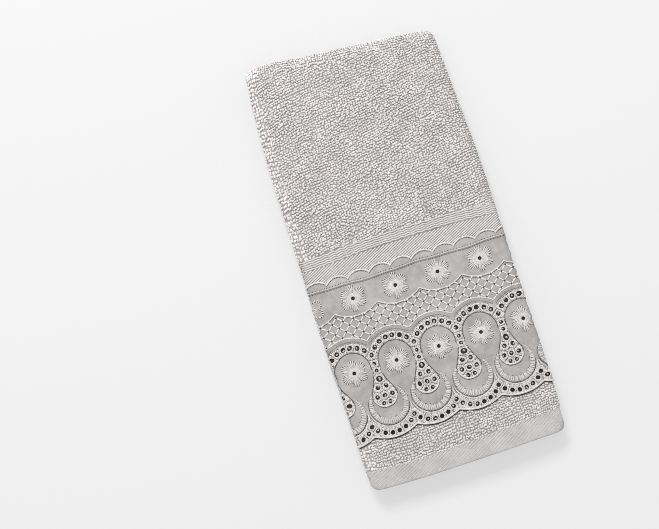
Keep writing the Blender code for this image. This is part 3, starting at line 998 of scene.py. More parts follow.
# Their places in one repeat. Turns are degrees from straight up in an arch, from straight down at the edge.
ARCH_LEVEL = 0.0982
ARCH_RADIUS = 0.0194
ARCH_TURNS = (8.2, 26.5, 44.3)
EDGE_CENTRE = 0.0643
EDGE_RADIUS = 0.0227
EDGE_TURNS = (7.3, 22.5, 38.5)
CUSP_LEVEL = 0.0509
BIG_EYELET_LEVEL = 0.0865
FLOWER_PLACES = ((REPEAT / 2, 0.0968), (0, 0.1551))  # (distance from the drop's axis, level)
# Eyelets on a drop's axis and beside it: (level along the cloth, distance from the axis, radius)
DROP_EYELETS = (
    (0.1068, 0.0, EYELET),
    (0.0995, 0.0, NECK_EYELET),
    (0.0936, 0.0, NECK_EYELET),
    (0.0799, 0.0035, EYELET),
    (0.0725, 0.0, EYELET),
    (0.0725, 0.0063, EYELET),
    (0.0665, 0.0027, LOW_EYELET),
)
axes = DROP_AXIS + np.arange(-7, 8) * REPEAT
print(len(axes), "drops along the whole trim")

# %% Heights on the trim
PUFF, FINE_PUFF = 0.00016, 0.00010  # heights of the cambric's soft waves


def trim_face(s, t):
    """Height of the cambric's upper side, with its soft puffs."""
    puff = PUFF * np.sin(s / 0.0024 + 1.2 * np.sin(t / 0.0071)) + PUFF * np.sin(t / 0.0028 + s / 0.0083)
    puff = puff + FINE_PUFF * np.sin(t / 0.0011 + 2 * np.sin(s / 0.0061))
    return thickness(t) / 2 + TRIM_GAP + CAMBRIC_THICK + puff


def on_trim(lift):
    """Base of stitches that stand so far above the cambric."""
    return lambda s, t: trim_face(s, t) + lift


print(f"the trim's face lies {trim_face(0.0, TRIM_LOW) * 1000:.2f} mm above the middle of the cloth")


# %% Places of the eyelets and flowers
OUT_OF_ROUND = 0.11  # the most that an eyelet's radius is longer one way and shorter the other
FLOWER_OVER = 0.004  # a flower is worked if its centre lies this far past what shows


def eyelets_of_repeat(axis):
    """(s, t, radius) of the worked eyelets of one repeat, without the flowers' own."""
    middle = axis + REPEAT / 2
    holes = [(axis, BIG_EYELET_LEVEL, BIG_EYELET), (middle, CUSP_LEVEL, EYELET)]
    for level, off, radius in DROP_EYELETS:
        holes += [(axis + side * off, level, radius) for side in ((-1, 1) if off else (1,))]
    for turn in np.radians(ARCH_TURNS):
        level = ARCH_LEVEL + ARCH_RADIUS * math.cos(turn)
        holes += [(middle + side * ARCH_RADIUS * math.sin(turn), level, ARCH_EYELET) for side in (-1, 1)]
    for turn in np.radians(EDGE_TURNS):
        level = EDGE_CENTRE - EDGE_RADIUS * math.cos(turn)
        holes += [(axis + side * EDGE_RADIUS * math.sin(turn), level, EYELET) for side in (-1, 1)]
    return holes


eyelets = [hole for axis in axes for hole in eyelets_of_repeat(axis) if abs(hole[0]) < SHOWN]
spots = [(axis + off, level) for axis in axes for off, level in FLOWER_PLACES]
flowers = [spot for spot in spots if abs(spot[0]) < SHOWN + FLOWER_OVER]
squash = chance.uniform(0.0, OUT_OF_ROUND, len(eyelets))
squash_turn = chance.uniform(0, math.pi, len(eyelets))
print(len(eyelets), "eyelets and", len(flowers), "flowers show")


# %% Outline of the cambric and its holes
def round_hole(s, t, radius, turns):
    return points_at(s + radius * np.cos(turns), t + radius * np.sin(turns))


def eyelet_rim(number, turns):
    """Points of an eyelet's rim at the given turns, a little out of round."""
    s, t, radius = eyelets[number]
    reach = radius * (1 + squash[number] * np.cos(2 * (turns - squash_turn[number])))
    return round_hole(s, t, reach, turns)


def heading_scallop(s):
    """The heading's cusps lie on the drops' axes and half way between them."""
    return scallop(s + REPEAT / 4, REPEAT / 2)


EDGE_POINTS, HEADING_POINTS = 16, 20  # to a repeat
trim_left, trim_right = CLOTH_LEFT + TRIM_END, CLOTH_RIGHT - TRIM_END
trim_levels = np.linspace(TRIM_LOW + 0.007, TRIM_HIGH - 0.008, 54)


def trim_outline():
    """The strip's outline: lower edge, right end, heading, left end."""
    repeats = (trim_right - trim_left) / REPEAT
    low = np.linspace(trim_left, trim_right, round(repeats * EDGE_POINTS))
    high = np.linspace(trim_right, trim_left, round(repeats * HEADING_POINTS))
    edge = [(s, TRIM_LOW + SCALLOP_DEPTH * scallop(s, REPEAT)) for s in low]
    heading = [(s, TRIM_HIGH - HEADING_DEPTH * heading_scallop(s)) for s in high]
    rising = [(trim_right, t) for t in trim_levels]
    return edge + rising + heading + [(trim_left, t) for t in trim_levels[::-1]]


print("outline of the strip:", len(trim_outline()), "points")

# %% Cut the cambric out flat
HOLE_SIDES = 14
trim_columns = lines(
    trim_left + 0.004,
    (-FOLD_END - TUCK, 8),
    (-FOLD_END, 5),
    (-HALF_PANEL, 10),
    (HALF_PANEL, 72),
    (FOLD_END, 10),
    (trim_right - 0.004, 9),
)


def cut_cambric():
    """Flat points and triangles of the cambric between its edges, without its holes."""
    hidden = [axis for axis in axes if SHOWN < abs(axis) and trim_left + 0.005 < axis < trim_right - 0.005]
    hidden_holes = [(axis, BIG_EYELET_LEVEL) for axis in hidden]
    turns = 2 * math.pi * np.arange(HOLE_SIDES) / HOLE_SIDES
    loops = [trim_outline()]
    loops += [eyelet_rim(number, turns) for number in range(len(eyelets))]
    loops += [round_hole(*spot, FLOWER_EYELET, turns) for spot in flowers]
    loops += [round_hole(*spot, BIG_EYELET, turns) for spot in hidden_holes]
    points, edges, faces = [], [], []
    for loop in loops:
        faces.append(list(range(len(points), len(points) + len(loop))))
        points.extend(tuple(point) for point in loop)
    middles = np.array([hole[:2] for hole in eyelets] + flowers + hidden_holes)
    for s in trim_columns:
        if HALF_PANEL - 1e-6 <= abs(s) < FOLD_END + 1e-6:
            edges.append((len(points), len(points) + 1))
            points.extend([(s, TRIM_LOW - STEP), (s, TRIM_HIGH + STEP)])
        for t in trim_levels:
            if np.hypot(middles[:, 0] - s, middles[:, 1] - t).min() > 1.5 * EYELET:
                points.append((s, t))
    cut = delaunay_2d_cdt(points, edges, faces, 0, 1e-6)
    flat, triangles, sources = cut[0], cut[2], cut[5]
    # A triangle of the strip comes from the outline alone, one in a hole from the hole's loop as well
    kept = [tuple(corners) for corners, inside in zip(triangles, sources) if list(inside) == [0]]
    used = sorted({corner for face in kept for corner in face})
    index = {old: new for new, old in enumerate(used)}
    return np.array([tuple(flat[k]) for k in used]), np.array([[index[k] for k in face] for face in kept])


cambric_flat, cambric_faces = cut_cambric()
print("cambric cut out:", len(cambric_faces), "faces")

# %% Fold the cambric and give it its thickness
cambric_s, cambric_t = cambric_flat.T
trim_points = place(cambric_s, cambric_t, trim_face(cambric_s, cambric_t))
trim = add_piece("trim_cambric", trim_points, cambric_faces, cambric_flat)
trim.data.materials.append(cambric)
pick(trim)
bpy.ops.object.modifier_add(type="SOLIDIFY")
trim.modifiers[-1].thickness = CAMBRIC_THICK
trim.modifiers[-1].offset = -1.0
bpy.ops.object.modifier_apply(modifier=trim.modifiers[-1].name)
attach(trim, "root")
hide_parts("eyelet_trim")
print("cambric:", len(trim.data.polygons), "faces")

# %% [markdown]
# ## Embroidery
# Satin stitch is thread laid side by side, so its edges look like a comb. It could be one raised ribbon with
# stripes in a bump, but its outline would be too smooth. So each stitch is a rounded strip laid between two
# points of the flat chart. Round an eyelet the stitches run out from the hole until they meet those of the
# next one or the edge of the worked shape, which is how the real ones fill an arch or a drop. Where a stitch
# ends, the needle leaves a small dark hole, and those holes draw the dotted outlines that the eye sees.

# %% Shapes of the worked areas
BAND_OUT = 0.0231  # outer radius of an arch's worked band
ARCH_FOOT = ARCH_LEVEL + 0.006
BULB_WIDE, BULB_HIGH = 0.0147, 0.0152  # half sizes of the plain bulb round a flower
BULB_LEVEL = 0.0985
NECK = 0.0034  # half width of a neck, which flares above FLARE_LOW
NECK_FLARE = 0.012
FLARE_LOW, FLARE_RUN = 0.098, 0.014
NECK_HIGH = 0.112
EDGE_BAND_CENTRE = 0.0660
EDGE_BAND_IN = 0.0188
EDGE_BAND_HIGH = 0.0608
# Half width of a drop: (level along the cloth, half width)
DROP_SHAPE = (
    (0.0628, 0.0),
    (0.0634, 0.0036),
    (0.0650, 0.0064),
    (0.0676, 0.0085),
    (0.0706, 0.0098),
    (0.0733, 0.0101),
    (0.0762, 0.0093),
    (0.0802, 0.0074),
    (0.0842, 0.0055),
    (0.0875, 0.0043),
    (0.0905, 0.0035),
)
NECK_LOW = DROP_SHAPE[-1][0]
drop_levels, drop_widths = np.array(DROP_SHAPE).T


def off_axis(s):
    """How far s lies from the nearest drop's axis."""
    share = (s - DROP_AXIS) / REPEAT
    return (share - np.round(share)) * REPEAT


def worked(s, t):
    """True where the stitches of the eyelets reach."""
    off = off_axis(s)
    from_middle = REPEAT / 2 - abs(off)
    in_drop = (abs(off) < np.interp(t, drop_levels, drop_widths, left=0, right=0)) & (t < NECK_LOW)
    beside_bulb = np.hypot(from_middle / BULB_WIDE, (t - BULB_LEVEL) / BULB_HIGH) > 1
    neck = NECK + NECK_FLARE * np.clip((t - FLARE_LOW) / FLARE_RUN, 0, 1)
    in_neck = beside_bulb & (abs(off) < neck) & (t >= NECK_LOW) & (t < NECK_HIGH)
    in_arch = beside_bulb & (np.hypot(from_middle, t - ARCH_LEVEL) < BAND_OUT) & (t > ARCH_FOOT)
    low = TRIM_LOW + SCALLOP_DEPTH * (2 * off / REPEAT) ** 2
    in_edge = (np.hypot(off, t - EDGE_BAND_CENTRE) > EDGE_BAND_IN) & (t > low) & (t < EDGE_BAND_HIGH)
    return in_drop | in_neck | in_arch | in_edge


print("a drop's centre is worked:", bool(worked(DROP_AXIS, BIG_EYELET_LEVEL)))

# %% Work the eyelets
STITCH_PITCH = 0.00047  # round an eyelet's rim
STITCH_STEP = 0.0002  # a stitch grows by this until it meets something
REACH_LEAST, REACH_MOST = 0.0007, 0.0036
NEIGHBOUR = 0.013  # eyelets further off than this can't be met
RIM_LAP = 0.00010  # the stitches reach so far into the hole
STITCH_WIDE = 0.00052
STITCH_FAN = 0.00036  # a stitch of FAN_RUN is this much wider at its outer end
FAN_RUN = 0.002
WORK_SINK = 0.00012  # the stitches are sunk so far into the cambric
HOLE_SHARE = 0.6  # share of the stitches whose needle hole shows

centres = np.array(eyelets)
starts, ends, stitch_ends = [], [], []
for number, (s, t, radius) in enumerate(eyelets):
    count = round(2 * math.pi * radius / STITCH_PITCH)
    turns = 2 * math.pi * (np.arange(count) + chance.uniform(-0.25, 0.25, count)) / count
    near = centres[np.hypot(centres[:, 0] - s, centres[:, 1] - t) < NEIGHBOUR]
    for turn, rim in zip(turns, eyelet_rim(number, turns)):
        way = np.array([math.cos(turn), math.sin(turn)])
        run = REACH_LEAST
        while run < REACH_MOST:
            spot = rim + (run + STITCH_STEP) * way
            nearest = (np.hypot(near[:, 0] - spot[0], near[:, 1] - spot[1]) - near[:, 2]).min()
            if nearest < run or not worked(*spot):
                break
            run += STITCH_STEP
        run *= chance.uniform(0.72, 1.04)
        starts.append(rim - RIM_LAP * way)
        ends.append(rim + run * way)
        if run > 0.0008 and chance.uniform() < HOLE_SHARE:
            stitch_ends.append(ends[-1] + 0.0002 * way)
starts, ends = np.array(starts), np.array(ends)
tall = chance.uniform(0.00042, 0.0007, len(starts))
fan = STITCH_WIDE + STITCH_FAN * np.clip(np.hypot(*(ends - starts).T) / FAN_RUN, 0, 1.2)
eyelet_work = lay_stitches(stitch_form, starts, ends, STITCH_WIDE, tall, on_trim(-WORK_SINK), fan)
eyelet_stitches = finish_piece("eyelet_stitches", [eyelet_work], thread)

# %% Petals
# Six petals: (degrees of its middle from straight up, half of its width in degrees, notch radius, tip radius)
PETALS = (
    (0, 24, 0.0067, 0.0113),
    (58, 32, 0.0073, 0.0115),
    (120, 32, 0.0073, 0.0115),
    (180, 24, 0.0067, 0.0115),
    (240, 32, 0.0073, 0.0115),
    (302, 32, 0.0073, 0.0115),
)
PETAL_PITCH = 9.4  # degrees from one outer stitch to the next, about
PETAL_ROUND = 2.4  # the higher, the squarer a petal's end
PETAL_START = (0.0034, 0.0044)  # the outer stitches start between these radii
GAP_HOLES = ((0.90, 0.98), (0.84, 0.89))  # two needle holes between tips, at these shares of the reach


def spoke(s, t, reach, turn):
    """The point at a reach from the centre, clockwise from straight up."""
    return s + reach * math.sin(turn), t + reach * math.cos(turn)


def petal_stitches(s, t):
    """The separate outer stitches of one flower, and the needle holes between their tips."""
    starts, ends, holes = [], [], []
    for middle, half, notch, tip in PETALS:
        count = round(2 * half / PETAL_PITCH)
        for share in (np.arange(count) + 0.5) / count * 2 - 1:
            reach = notch + (tip - notch) * (1 - abs(share) ** PETAL_ROUND) * chance.uniform(0.92, 1.04)
            turn = math.radians(middle + share * half + chance.normal(0, 0.8))
            inner_turn = math.radians(middle + 0.92 * share * half)
            starts.append(spoke(s, t, chance.uniform(*PETAL_START), inner_turn))
            ends.append(spoke(s, t, reach, turn))
            hole_turn = turn + math.radians(half / count)
            hole_reaches = [reach * chance.uniform(*shares) for shares in GAP_HOLES]
            holes += [spoke(s, t, hole_reach, hole_turn) for hole_reach in hole_reaches]
    return starts, ends, holes


print(len(PETALS), "petals to a flower")

# %% Work the flowers
HEART_REACH = 0.0050
HEART_STITCHES = 34
OUTER_STITCH = {"width": 0.00084, "height": 0.00056, "end_width": 0.00104}
HEART_STITCH = {"width": 0.00045, "height": 0.00048, "end_width": 0.00150}
outer_starts, outer_ends, heart_starts, heart_ends = [], [], [], []
for s, t in flowers:
    more_starts, more_ends, holes = petal_stitches(s, t)
    outer_starts += more_starts
    outer_ends += more_ends
    stitch_ends += holes
    uneven = chance.uniform(-0.2, 0.2, HEART_STITCHES)
    turns = 2 * math.pi * (np.arange(HEART_STITCHES) + uneven) / HEART_STITCHES
    reach = HEART_REACH * chance.uniform(0.85, 1.1, HEART_STITCHES)
    heart_starts += list(round_hole(s, t, FLOWER_EYELET - 0.0002, turns))
    heart_ends += list(round_hole(s, t, reach, turns))
outer = lay_stitches(rib_form, outer_starts, outer_ends, base=on_trim(-WORK_SINK), **OUTER_STITCH)
hearts = lay_stitches(rib_form, heart_starts, heart_ends, base=on_trim(-WORK_SINK), **HEART_STITCH)
flower_work = finish_piece("flower_stitches", [outer, hearts], flower_thread)

# %% Work the satin crescents round the drops
CRESCENT_PITCH = 0.00190
CRESCENT_OUT = 0.0162
CRESCENT_LEVEL = 0.0646
CRESCENT_OFF = 0.0007  # its centre lies this far to the right of the drop's axis
CRESCENT_SINK = 0.00010
CRESCENT_STITCH = {"width": 0.00118, "end_width": 0.00170}
# Width of the crescent: (degrees from straight down, width)
CRESCENT_WIDTH = (
    (-131, 0.0022),
    (-100, 0.0034),
    (-45, 0.0044),
    (0, 0.0050),
    (45, 0.0046),
    (95, 0.0036),
    (144, 0.0008),
)
starts, ends = [], []
crescent_step = CRESCENT_PITCH / CRESCENT_OUT
turns = np.radians(np.arange(CRESCENT_WIDTH[0][0], CRESCENT_WIDTH[-1][0], math.degrees(crescent_step)))
for axis in axes[abs(axes) <= SHOWN + CRESCENT_OUT]:
    centre = np.array([axis + CRESCENT_OFF, CRESCENT_LEVEL])
    for turn in turns + chance.normal(0, 0.16 * CRESCENT_PITCH / CRESCENT_OUT, len(turns)):
        width = float(through(CRESCENT_WIDTH, 1, math.degrees(turn))) * chance.uniform(0.82, 1.06)
        way = np.array([math.sin(turn), -math.cos(turn)])
        slant = np.array([way[1], -way[0]]) * chance.normal(0, 0.0003)
        starts.append(centre + way * (CRESCENT_OUT - width) + slant)
        ends.append(centre + way * CRESCENT_OUT * chance.uniform(0.985, 1.01))
        for end, outward in ((starts[-1], -way), (ends[-1], way)):
            if chance.uniform() < HOLE_SHARE:
                stitch_ends.append(end + outward * 0.0003)
starts, ends = np.array(starts), np.array(ends)
inside = abs(starts[:, 0]) < SHOWN + 0.003
starts, ends = starts[inside], ends[inside]
satin_height = chance.uniform(0.00038, 0.00058, len(starts))
satin_base = on_trim(-CRESCENT_SINK)
crescents = lay_stitches(rib_form, starts, ends, height=satin_height, base=satin_base, **CRESCENT_STITCH)
crescent_work = finish_piece("crescent_stitches", [crescents], satin_thread)


# %% Lines of stitches along a curve
def spread_along(curve, pitch, unevenness):
    """Distances along a flat curve, one to a pitch, and a function that gives the curve's points at any."""
    curve = np.array(curve)
    far = np.concatenate([[0], np.cumsum(np.hypot(*(curve[1:] - curve[:-1]).T))])
    places = np.arange(pitch / 2, far[-1], pitch)
    places = places + chance.uniform(-unevenness, unevenness, len(places)) * pitch
    return places, lambda at: points_at(np.interp(at, far, curve[:, 0]), np.interp(at, far, curve[:, 1]))


def along_curve(curve, pitch, ratio, width, height, slant=0.0, sink=0.0001, form=stitch_form):
    """Stitches along a flat curve: ratio is their length over the pitch, slant turns them off the curve."""
    places, at = spread_along(curve, pitch, 0.12)
    middle = at(places)
    way = at(places + 1e-4) - at(places - 1e-4)
    way = way / np.maximum(np.hypot(way[:, 0], way[:, 1]), 1e-9)[:, None]
    cos, sin = math.cos(slant), math.sin(slant)
    turned = points_at(way[:, 0] * cos - way[:, 1] * sin, way[:, 0] * sin + way[:, 1] * cos)
    half = turned * pitch * ratio / 2
    inside = abs(middle[:, 0]) < SHOWN
    middle, half = middle[inside], half[inside]
    return lay_stitches(form, middle - half, middle + half, width, height, on_trim(-sink))


def dots_along(curve, pitch):
    """Places of needle holes along a flat curve."""
    places, at = spread_along(curve, pitch, 0.2)
    return at(places)


def arc(centre_s, centre_t, radius, first, last):
    """Points of an arc, in degrees from straight up, clockwise."""
    turns = np.radians(np.linspace(first, last, 60))
    return points_at(centre_s + radius * np.sin(turns), centre_t + radius * np.cos(turns))


def raised(curve, rise):
    """A flat curve, moved up along the cloth."""
    return curve + np.array([0, rise])


# %% The two scalloped edges
SATIN_CORD = {"pitch": 0.00058, "slant": 1.35, "width": 0.00078, "height": 0.00085}
EDGE_IN = 0.0005  # the cord's middle lies this far inside the lower edge
BOW_TOP = TRIM_HIGH - 0.0010
BOW_DEPTH = 0.0038
BOW_LEAN = 0.08  # the heading's bows are highest this far to the right of their middle

full = np.linspace(-SHOWN, SHOWN, 900)
edge_curve = points_at(full, TRIM_LOW + EDGE_IN + SCALLOP_DEPTH * scallop(full, REPEAT))
edges = [along_curve(edge_curve, ratio=2.6, **SATIN_CORD)]
for number in range(-7, 8):
    left = DROP_AXIS + number * REPEAT / 2
    share = np.linspace(-1.0, 1.06, 50)
    level = BOW_TOP - BOW_DEPTH * abs(share - BOW_LEAN) ** 2.1
    bow = points_at(left + (share + 1) * REPEAT / 4, level)
    if abs(left + REPEAT / 4) < SHOWN:
        edges.append(along_curve(bow, ratio=2.4, **SATIN_CORD))
        stitch_ends += list(dots_along(raised(bow, -0.0010), 0.0021))
edge_work = finish_piece("edge_stitches", edges, thread)

# %% Kinds of line
# A raised cord, the comb of a drop's bowl, a wide strip of painted soft shadow, and a narrow line of painted
# shadow
CORD = {"pitch": 0.00095, "ratio": 1.7, "slant": 0.55, "width": 0.00064, "height": 0.00055}
BOWL_CORD = {"pitch": 0.0006, "ratio": 2.0, "slant": 1.35, "width": 0.0007, "height": 0.0007}
SOFT_SHADOW_STRIP = {"pitch": 0.0014, "ratio": 1.5, "slant": 0.5, "width": 0.0016, "height": 0.00012, "sink": 0.0}
LINE = {"pitch": 0.0016, "ratio": 1.25, "height": 0.00012, "sink": 0.0}
LINE_WIDE = 0.00058
LINE_HOLES = 0.0020  # from one needle hole to the next
outlines, painted_shadow_lines, soft_shadow_strips, spikes = [], [], [], []


def painted_shadow_line_with_holes(curve, width=LINE_WIDE):
    """A line of painted shadow along a stitched edge, dotted with needle holes."""
    painted_shadow_lines.append(along_curve(curve, width=width, **LINE))
    stitch_ends.extend(dots_along(curve, LINE_HOLES))


# %% Outlines of arches, bulbs, drops and crescents
ARCH_CORD = (0.0275, -40.5, 40.5)  # radius, first and last degree
# radius, first and last degree of the strip of painted soft shadow
ARCH_SOFT_SHADOW_STRIP = (0.0249, -44, 44)
BULB_IN = 0.0003  # the bulb's line lies this far inside it
SPIKE_LOW, SPIKE_LONG = 0.0558, 0.0058  # of the pointed stitch above each eyelet in a cusp

bowl_levels = np.concatenate([drop_levels[:5][::-1], drop_levels[1:5]])
bowl_widths = np.concatenate([-drop_widths[:5][::-1], drop_widths[1:5]])
bulb_turns = np.radians(np.linspace(-100, 100, 60))
bulb_s = (BULB_WIDE - BULB_IN) * np.sin(bulb_turns)
bulb_t = BULB_LEVEL + (BULB_HIGH - BULB_IN) * np.cos(bulb_turns)
for axis in axes[abs(axes) <= SHOWN + REPEAT]:
    middle = axis + REPEAT / 2
    outlines.append(along_curve(arc(middle, ARCH_LEVEL, *ARCH_CORD), **{**CORD, "width": 0.0009}))
    soft_shadow_strips.append(along_curve(arc(middle, ARCH_LEVEL, *ARCH_SOFT_SHADOW_STRIP), **SOFT_SHADOW_STRIP))
    painted_shadow_line_with_holes(points_at(middle + bulb_s, bulb_t))
    for side in (-1, 1):
        painted_shadow_line_with_holes(points_at(axis + side * (drop_widths[3:] + 0.0004), drop_levels[3:]))
    bowl = points_at(axis + bowl_widths, bowl_levels)
    outlines.append(along_curve(raised(bowl, 0.0006), **BOWL_CORD))
    painted_shadow_line_with_holes(raised(bowl, -0.0004))
    centre = (axis + CRESCENT_OFF, CRESCENT_LEVEL)
    painted_shadow_line_with_holes(arc(*centre, CRESCENT_OUT + 0.0005, 100, 292), width=0.0004)
    outlines.append(along_curve(arc(*centre, CRESCENT_OUT + 0.0017, 104, 256), **CORD))
    painted_shadow_line_with_holes(arc(axis, EDGE_BAND_CENTRE, EDGE_BAND_IN - 0.0004, 110, 250), width=0.0005)
    if abs(middle) < SHOWN - 0.002:
        spikes.append((middle, SPIKE_LOW))
print(len(outlines), "raised and", len(painted_shadow_lines), "painted shadow outlines")

# %% The lattice
LATTICE_TOP = 0.1411  # level of its upper edge where that is lowest
LATTICE_RISE = 0.0062  # and how much higher its points are
LATTICE_WIDE = REPEAT / 4  # from one knot of a row to the next
LATTICE_HIGH = 0.0085  # from one row of knots to the next but one
LATTICE_START = 0.1440  # level of the first row
LATTICE_ROWS = 5
LATTICE_ARCH = 0.0276  # radius of the arches that it ends at
BAR_RUN = (0.12, 0.88)  # shares of the way between two knots that a bar takes up
SHORTEST_BAR = 6  # in thirtieths of a bar
BAR = {"width": 0.00112, "height": 0.00068}
SPIKE = {"width": 0.0014, "height": 0.0006, "end_width": 0.0005}


def lattice_ceiling(s):
    return LATTICE_TOP + LATTICE_RISE * scallop(s, REPEAT) ** 1.1


def in_lattice(s, t):
    from_middle = REPEAT / 2 - abs(off_axis(s))
    return (t < lattice_ceiling(s)) & (np.hypot(from_middle, t - ARCH_LEVEL) > LATTICE_ARCH)


ceiling_curve = points_at(full, lattice_ceiling(full))
outlines.append(along_curve(ceiling_curve, **CORD))
painted_shadow_line_with_holes(raised(ceiling_curve, -0.0010), width=0.0004)
bars_from, bars_to, pinholes = [], [], []
for number in range(-11, 12):
    for level in np.arange(0, LATTICE_ROWS, 0.5):
        knot_s = DROP_AXIS + REPEAT / 2 + (number + level % 1) * LATTICE_WIDE
        knot = np.array([knot_s, LATTICE_START - level * LATTICE_HIGH])
        if abs(knot_s) < SHOWN and in_lattice(*knot):
            pinholes.append(knot + chance.normal(0, 0.00012, 2))
        for side in (-1, 1):
            other = knot + np.array([side * LATTICE_WIDE / 2, -LATTICE_HIGH / 2])
            path = knot + (other - knot) * np.linspace(*BAR_RUN, 30)[:, None]
            path = path[in_lattice(path[:, 0], path[:, 1]) & (abs(path[:, 0]) < SHOWN)]
            if len(path) > SHORTEST_BAR:
                bars_from.append(path[0])
                bars_to.append(path[-1])
spikes = np.array(spikes)
spike_ends = raised(spikes, SPIKE_LONG)
outlines.append(lay_stitches(rib_form, spikes, spike_ends, base=on_trim(0), **SPIKE))
bars = lay_stitches(rib_form, bars_from, bars_to, base=on_trim(-0.0001), **BAR)
lattice_work = finish_piece("lattice_bars", [bars], thread)
outline_work = finish_piece("outline_stitches", outlines, thread)
print(len(bars_from), "lattice bars and", len(pinholes), "knots")

# %% [markdown]
# ## The seam, needle holes and what shows through the eyelets
# The trim is sewn to the towel in a narrow tuck below its heading, which stands up as a soft ridge with a
# line of painted shadow under it. Needle holes are too small to cut, so each is a little dark disc on the
# cambric.
# Behind the eyelets the towel's own yarn shows, a little blob of it in most of them, darkened as painted
# shade.

# %% The stitched tuck
TUCK_LEVEL = 0.1680
RIDGE = {"pitch": 0.0021, "ratio": 1.5, "width": 0.0015, "height": 0.0006, "sink": 0.0002, "form": rib_form}
SEAM = {"pitch": 0.0019, "ratio": 0.85, "width": 0.0007, "height": 0.0004, "sink": -0.0002, "form": rib_form}

tuck_wave = 0.0005 * np.sin(full / 0.0123 + 1) + 0.00025 * np.sin(full / 0.0047)
tuck_curve = points_at(full, TUCK_LEVEL + tuck_wave)
ridge = along_curve(tuck_curve, **RIDGE)
tuck = finish_piece("stitched_tuck", [ridge], cambric)
tuck_stitches = along_curve(raised(tuck_curve, 0.0002), slant=0.2, **SEAM)
tuck_sewing = finish_piece("tuck_sewing", [tuck_stitches], satin_thread)
stitch_ends += list(dots_along(raised(tuck_curve, 0.0013), 0.0024))
painted_shadow_line_with_holes(raised(tuck_curve, -0.0013), width=0.00032)
painted_shadow_work = finish_piece("painted_shadow_lines", painted_shadow_lines, painted_shadow)
soft_shadow_work = finish_piece("painted_soft_shadow_strips", soft_shadow_strips, soft_shadow)

# %% Needle holes
NEEDLE_HOLE, NEEDLE_LIFT = 0.00033, 0.00020
PINHOLE, PIN_LIFT = 0.00074, 0.00034  # at the lattice's knots
deselect()
bpy.ops.mesh.primitive_circle_add(vertices=6, radius=1.0, fill_type="NGON")
disc_form = take_form(bpy.context.object)


def lay_discs(spots, radius, lift):
    spots = np.array(spots)
    s = spots[:, :1] + disc_form[0][:, 0][None, :] * radius
    t = spots[:, 1:] + disc_form[0][:, 1][None, :] * radius
    return repeat_form(disc_form, s, t, trim_face(s, t) + lift)


small = np.array(stitch_ends)
small = small[abs(small[:, 0]) < SHOWN]
discs = [lay_discs(small, NEEDLE_HOLE, NEEDLE_LIFT), lay_discs(pinholes, PINHOLE, PIN_LIFT)]
holes_piece = finish_piece("needle_holes", discs, needle_dark)

# %% Yarn seen through the eyelets
YARN_SEEN, EDGE_YARN_SEEN = 0.92, 0.5  # share of the eyelets that show it, and of those at the edge
YARN_WIDE = 0.74  # of the eyelet's radius
YARN_HIGH, YARN_SINK = 0.0008, 0.0005

seen = np.array(eyelets)
seen = seen[chance.uniform(size=len(seen)) < np.where(seen[:, 1] > EDGE_CENTRE, YARN_SEEN, EDGE_YARN_SEEN)]
reach = seen[:, 2:]
spots = seen[:, :2] + chance.normal(0, 0.0004, (len(seen), 2))
turns = chance.uniform(0, math.pi, len(spots))
half = points_at(np.cos(turns), np.sin(turns)) * chance.uniform(0.32, 0.58, (len(spots), 1)) * reach
yarns = lay_stitches(rib_form, spots - half, spots + half, YARN_WIDE * reach, YARN_HIGH, in_cloth(YARN_SINK))
seen_yarn = finish_piece("yarn_under_eyelets", [yarns], inner_yarn)

work = [eyelet_stitches, flower_work, crescent_work, edge_work, outline_work, lattice_work]
work += [holes_piece, tuck, tuck_sewing, painted_shadow_work, soft_shadow_work]

# %% [markdown]
# ## Floor, light and camera
# The towel lies on a plain pale surface and is seen straight from above, leaning a little to the left. The
# light is a bright room with one large soft lamp beyond the towel's top, so that loops and stitches cast
# small shadows. A dark shadow beside the towel would look wrong on so pale a surface, so the floor is lit
# faintly from below, as on a light table. Fine stitches need a sharp picture, so the pixel filter is narrow
# and denoising is off.

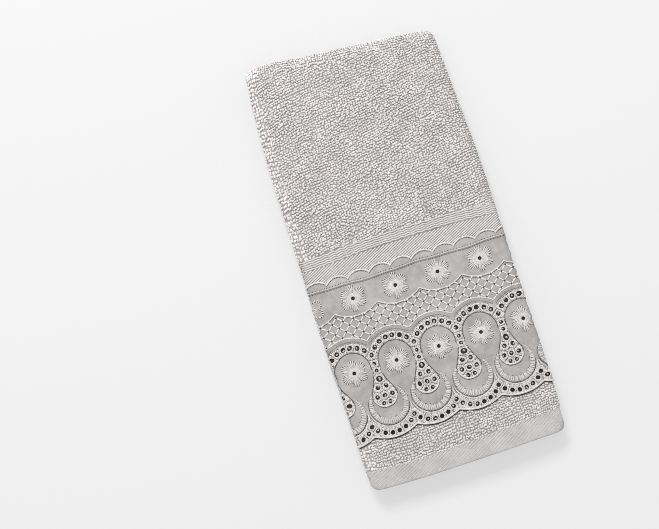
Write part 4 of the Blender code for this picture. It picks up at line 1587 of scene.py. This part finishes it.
# %% Floor
FLOOR_COLOUR = (0.25, 0.25, 0.25)
FLOOR_GLOW = 0.52
deselect()
bpy.ops.mesh.primitive_plane_add(size=6.0, location=(0, 0, 0))
floor = bpy.context.object
floor.name = "floor"
floor_material, floor_shader = start_material("floor", 0.9)
floor_shader.inputs["Base Color"].default_value = (*FLOOR_COLOUR, 1.0)
floor_shader.inputs["Emission Color"].default_value = (1.0, 1.0, 1.0, 1.0)
floor_shader.inputs["Emission Strength"].default_value = FLOOR_GLOW
floor.data.materials.append(floor_material)
print("floor glow:", FLOOR_GLOW)

# %% Light of the room
ROOM_LIGHT = 0.81
scene = bpy.context.scene
world = bpy.data.worlds.new("room")
world.use_nodes = True
background = world.node_tree.nodes["Background"]
background.inputs["Color"].default_value = (1.0, 1.0, 1.0, 1.0)
background.inputs["Strength"].default_value = ROOM_LIGHT
scene.world = world
print("room light:", ROOM_LIGHT)

# %% Window
LEAN_ANGLE = math.radians(17.5)  # of the towel in the picture
WINDOW = (-0.55, 1.3, 1.4)  # across to the right, up and out of the picture
lamp = bpy.data.lights.new("window", "AREA")
lamp.size = 0.6
lamp.energy = 36
window = bpy.data.objects.new("window", lamp)
up = np.array([math.sin(LEAN_ANGLE), math.cos(LEAN_ANGLE)])
right = np.array([up[1], -up[0]])
window.location = (*(up * WINDOW[1] + right * WINDOW[0]), WINDOW[2])
window.rotation_euler = (-window.location).to_track_quat("-Z", "Y").to_euler()
scene.collection.objects.link(window)
print("window at", tuple(round(value, 2) for value in window.location))

# %% Camera
PIXEL = 0.00081  # metres of towel to a pixel of the picture
PICTURE_WIDE = 659
LENS = 85
SENSOR = 36
VIEW_AT = (-0.0588, 0.1871)  # the picture's middle on the folded cloth, across and up from its hem
TOP_OF_STACK = 0.020
camera_data = bpy.data.cameras.new("camera")
camera_data.lens = LENS
camera_data.sensor_width = SENSOR
camera = bpy.data.objects.new("camera", camera_data)
distance = PIXEL * PICTURE_WIDE * LENS / SENSOR
camera.location = (VIEW_AT[0] + shift[0], VIEW_AT[1] + shift[1], TOP_OF_STACK + distance)
camera.rotation_euler = (0, 0, -LEAN_ANGLE)
scene.collection.objects.link(camera)
scene.camera = camera
scene.view_settings.view_transform = "Standard"
scene.cycles.use_denoising = False
scene.cycles.filter_width = 0.9
print("camera", round(distance, 3), "m above the towel")
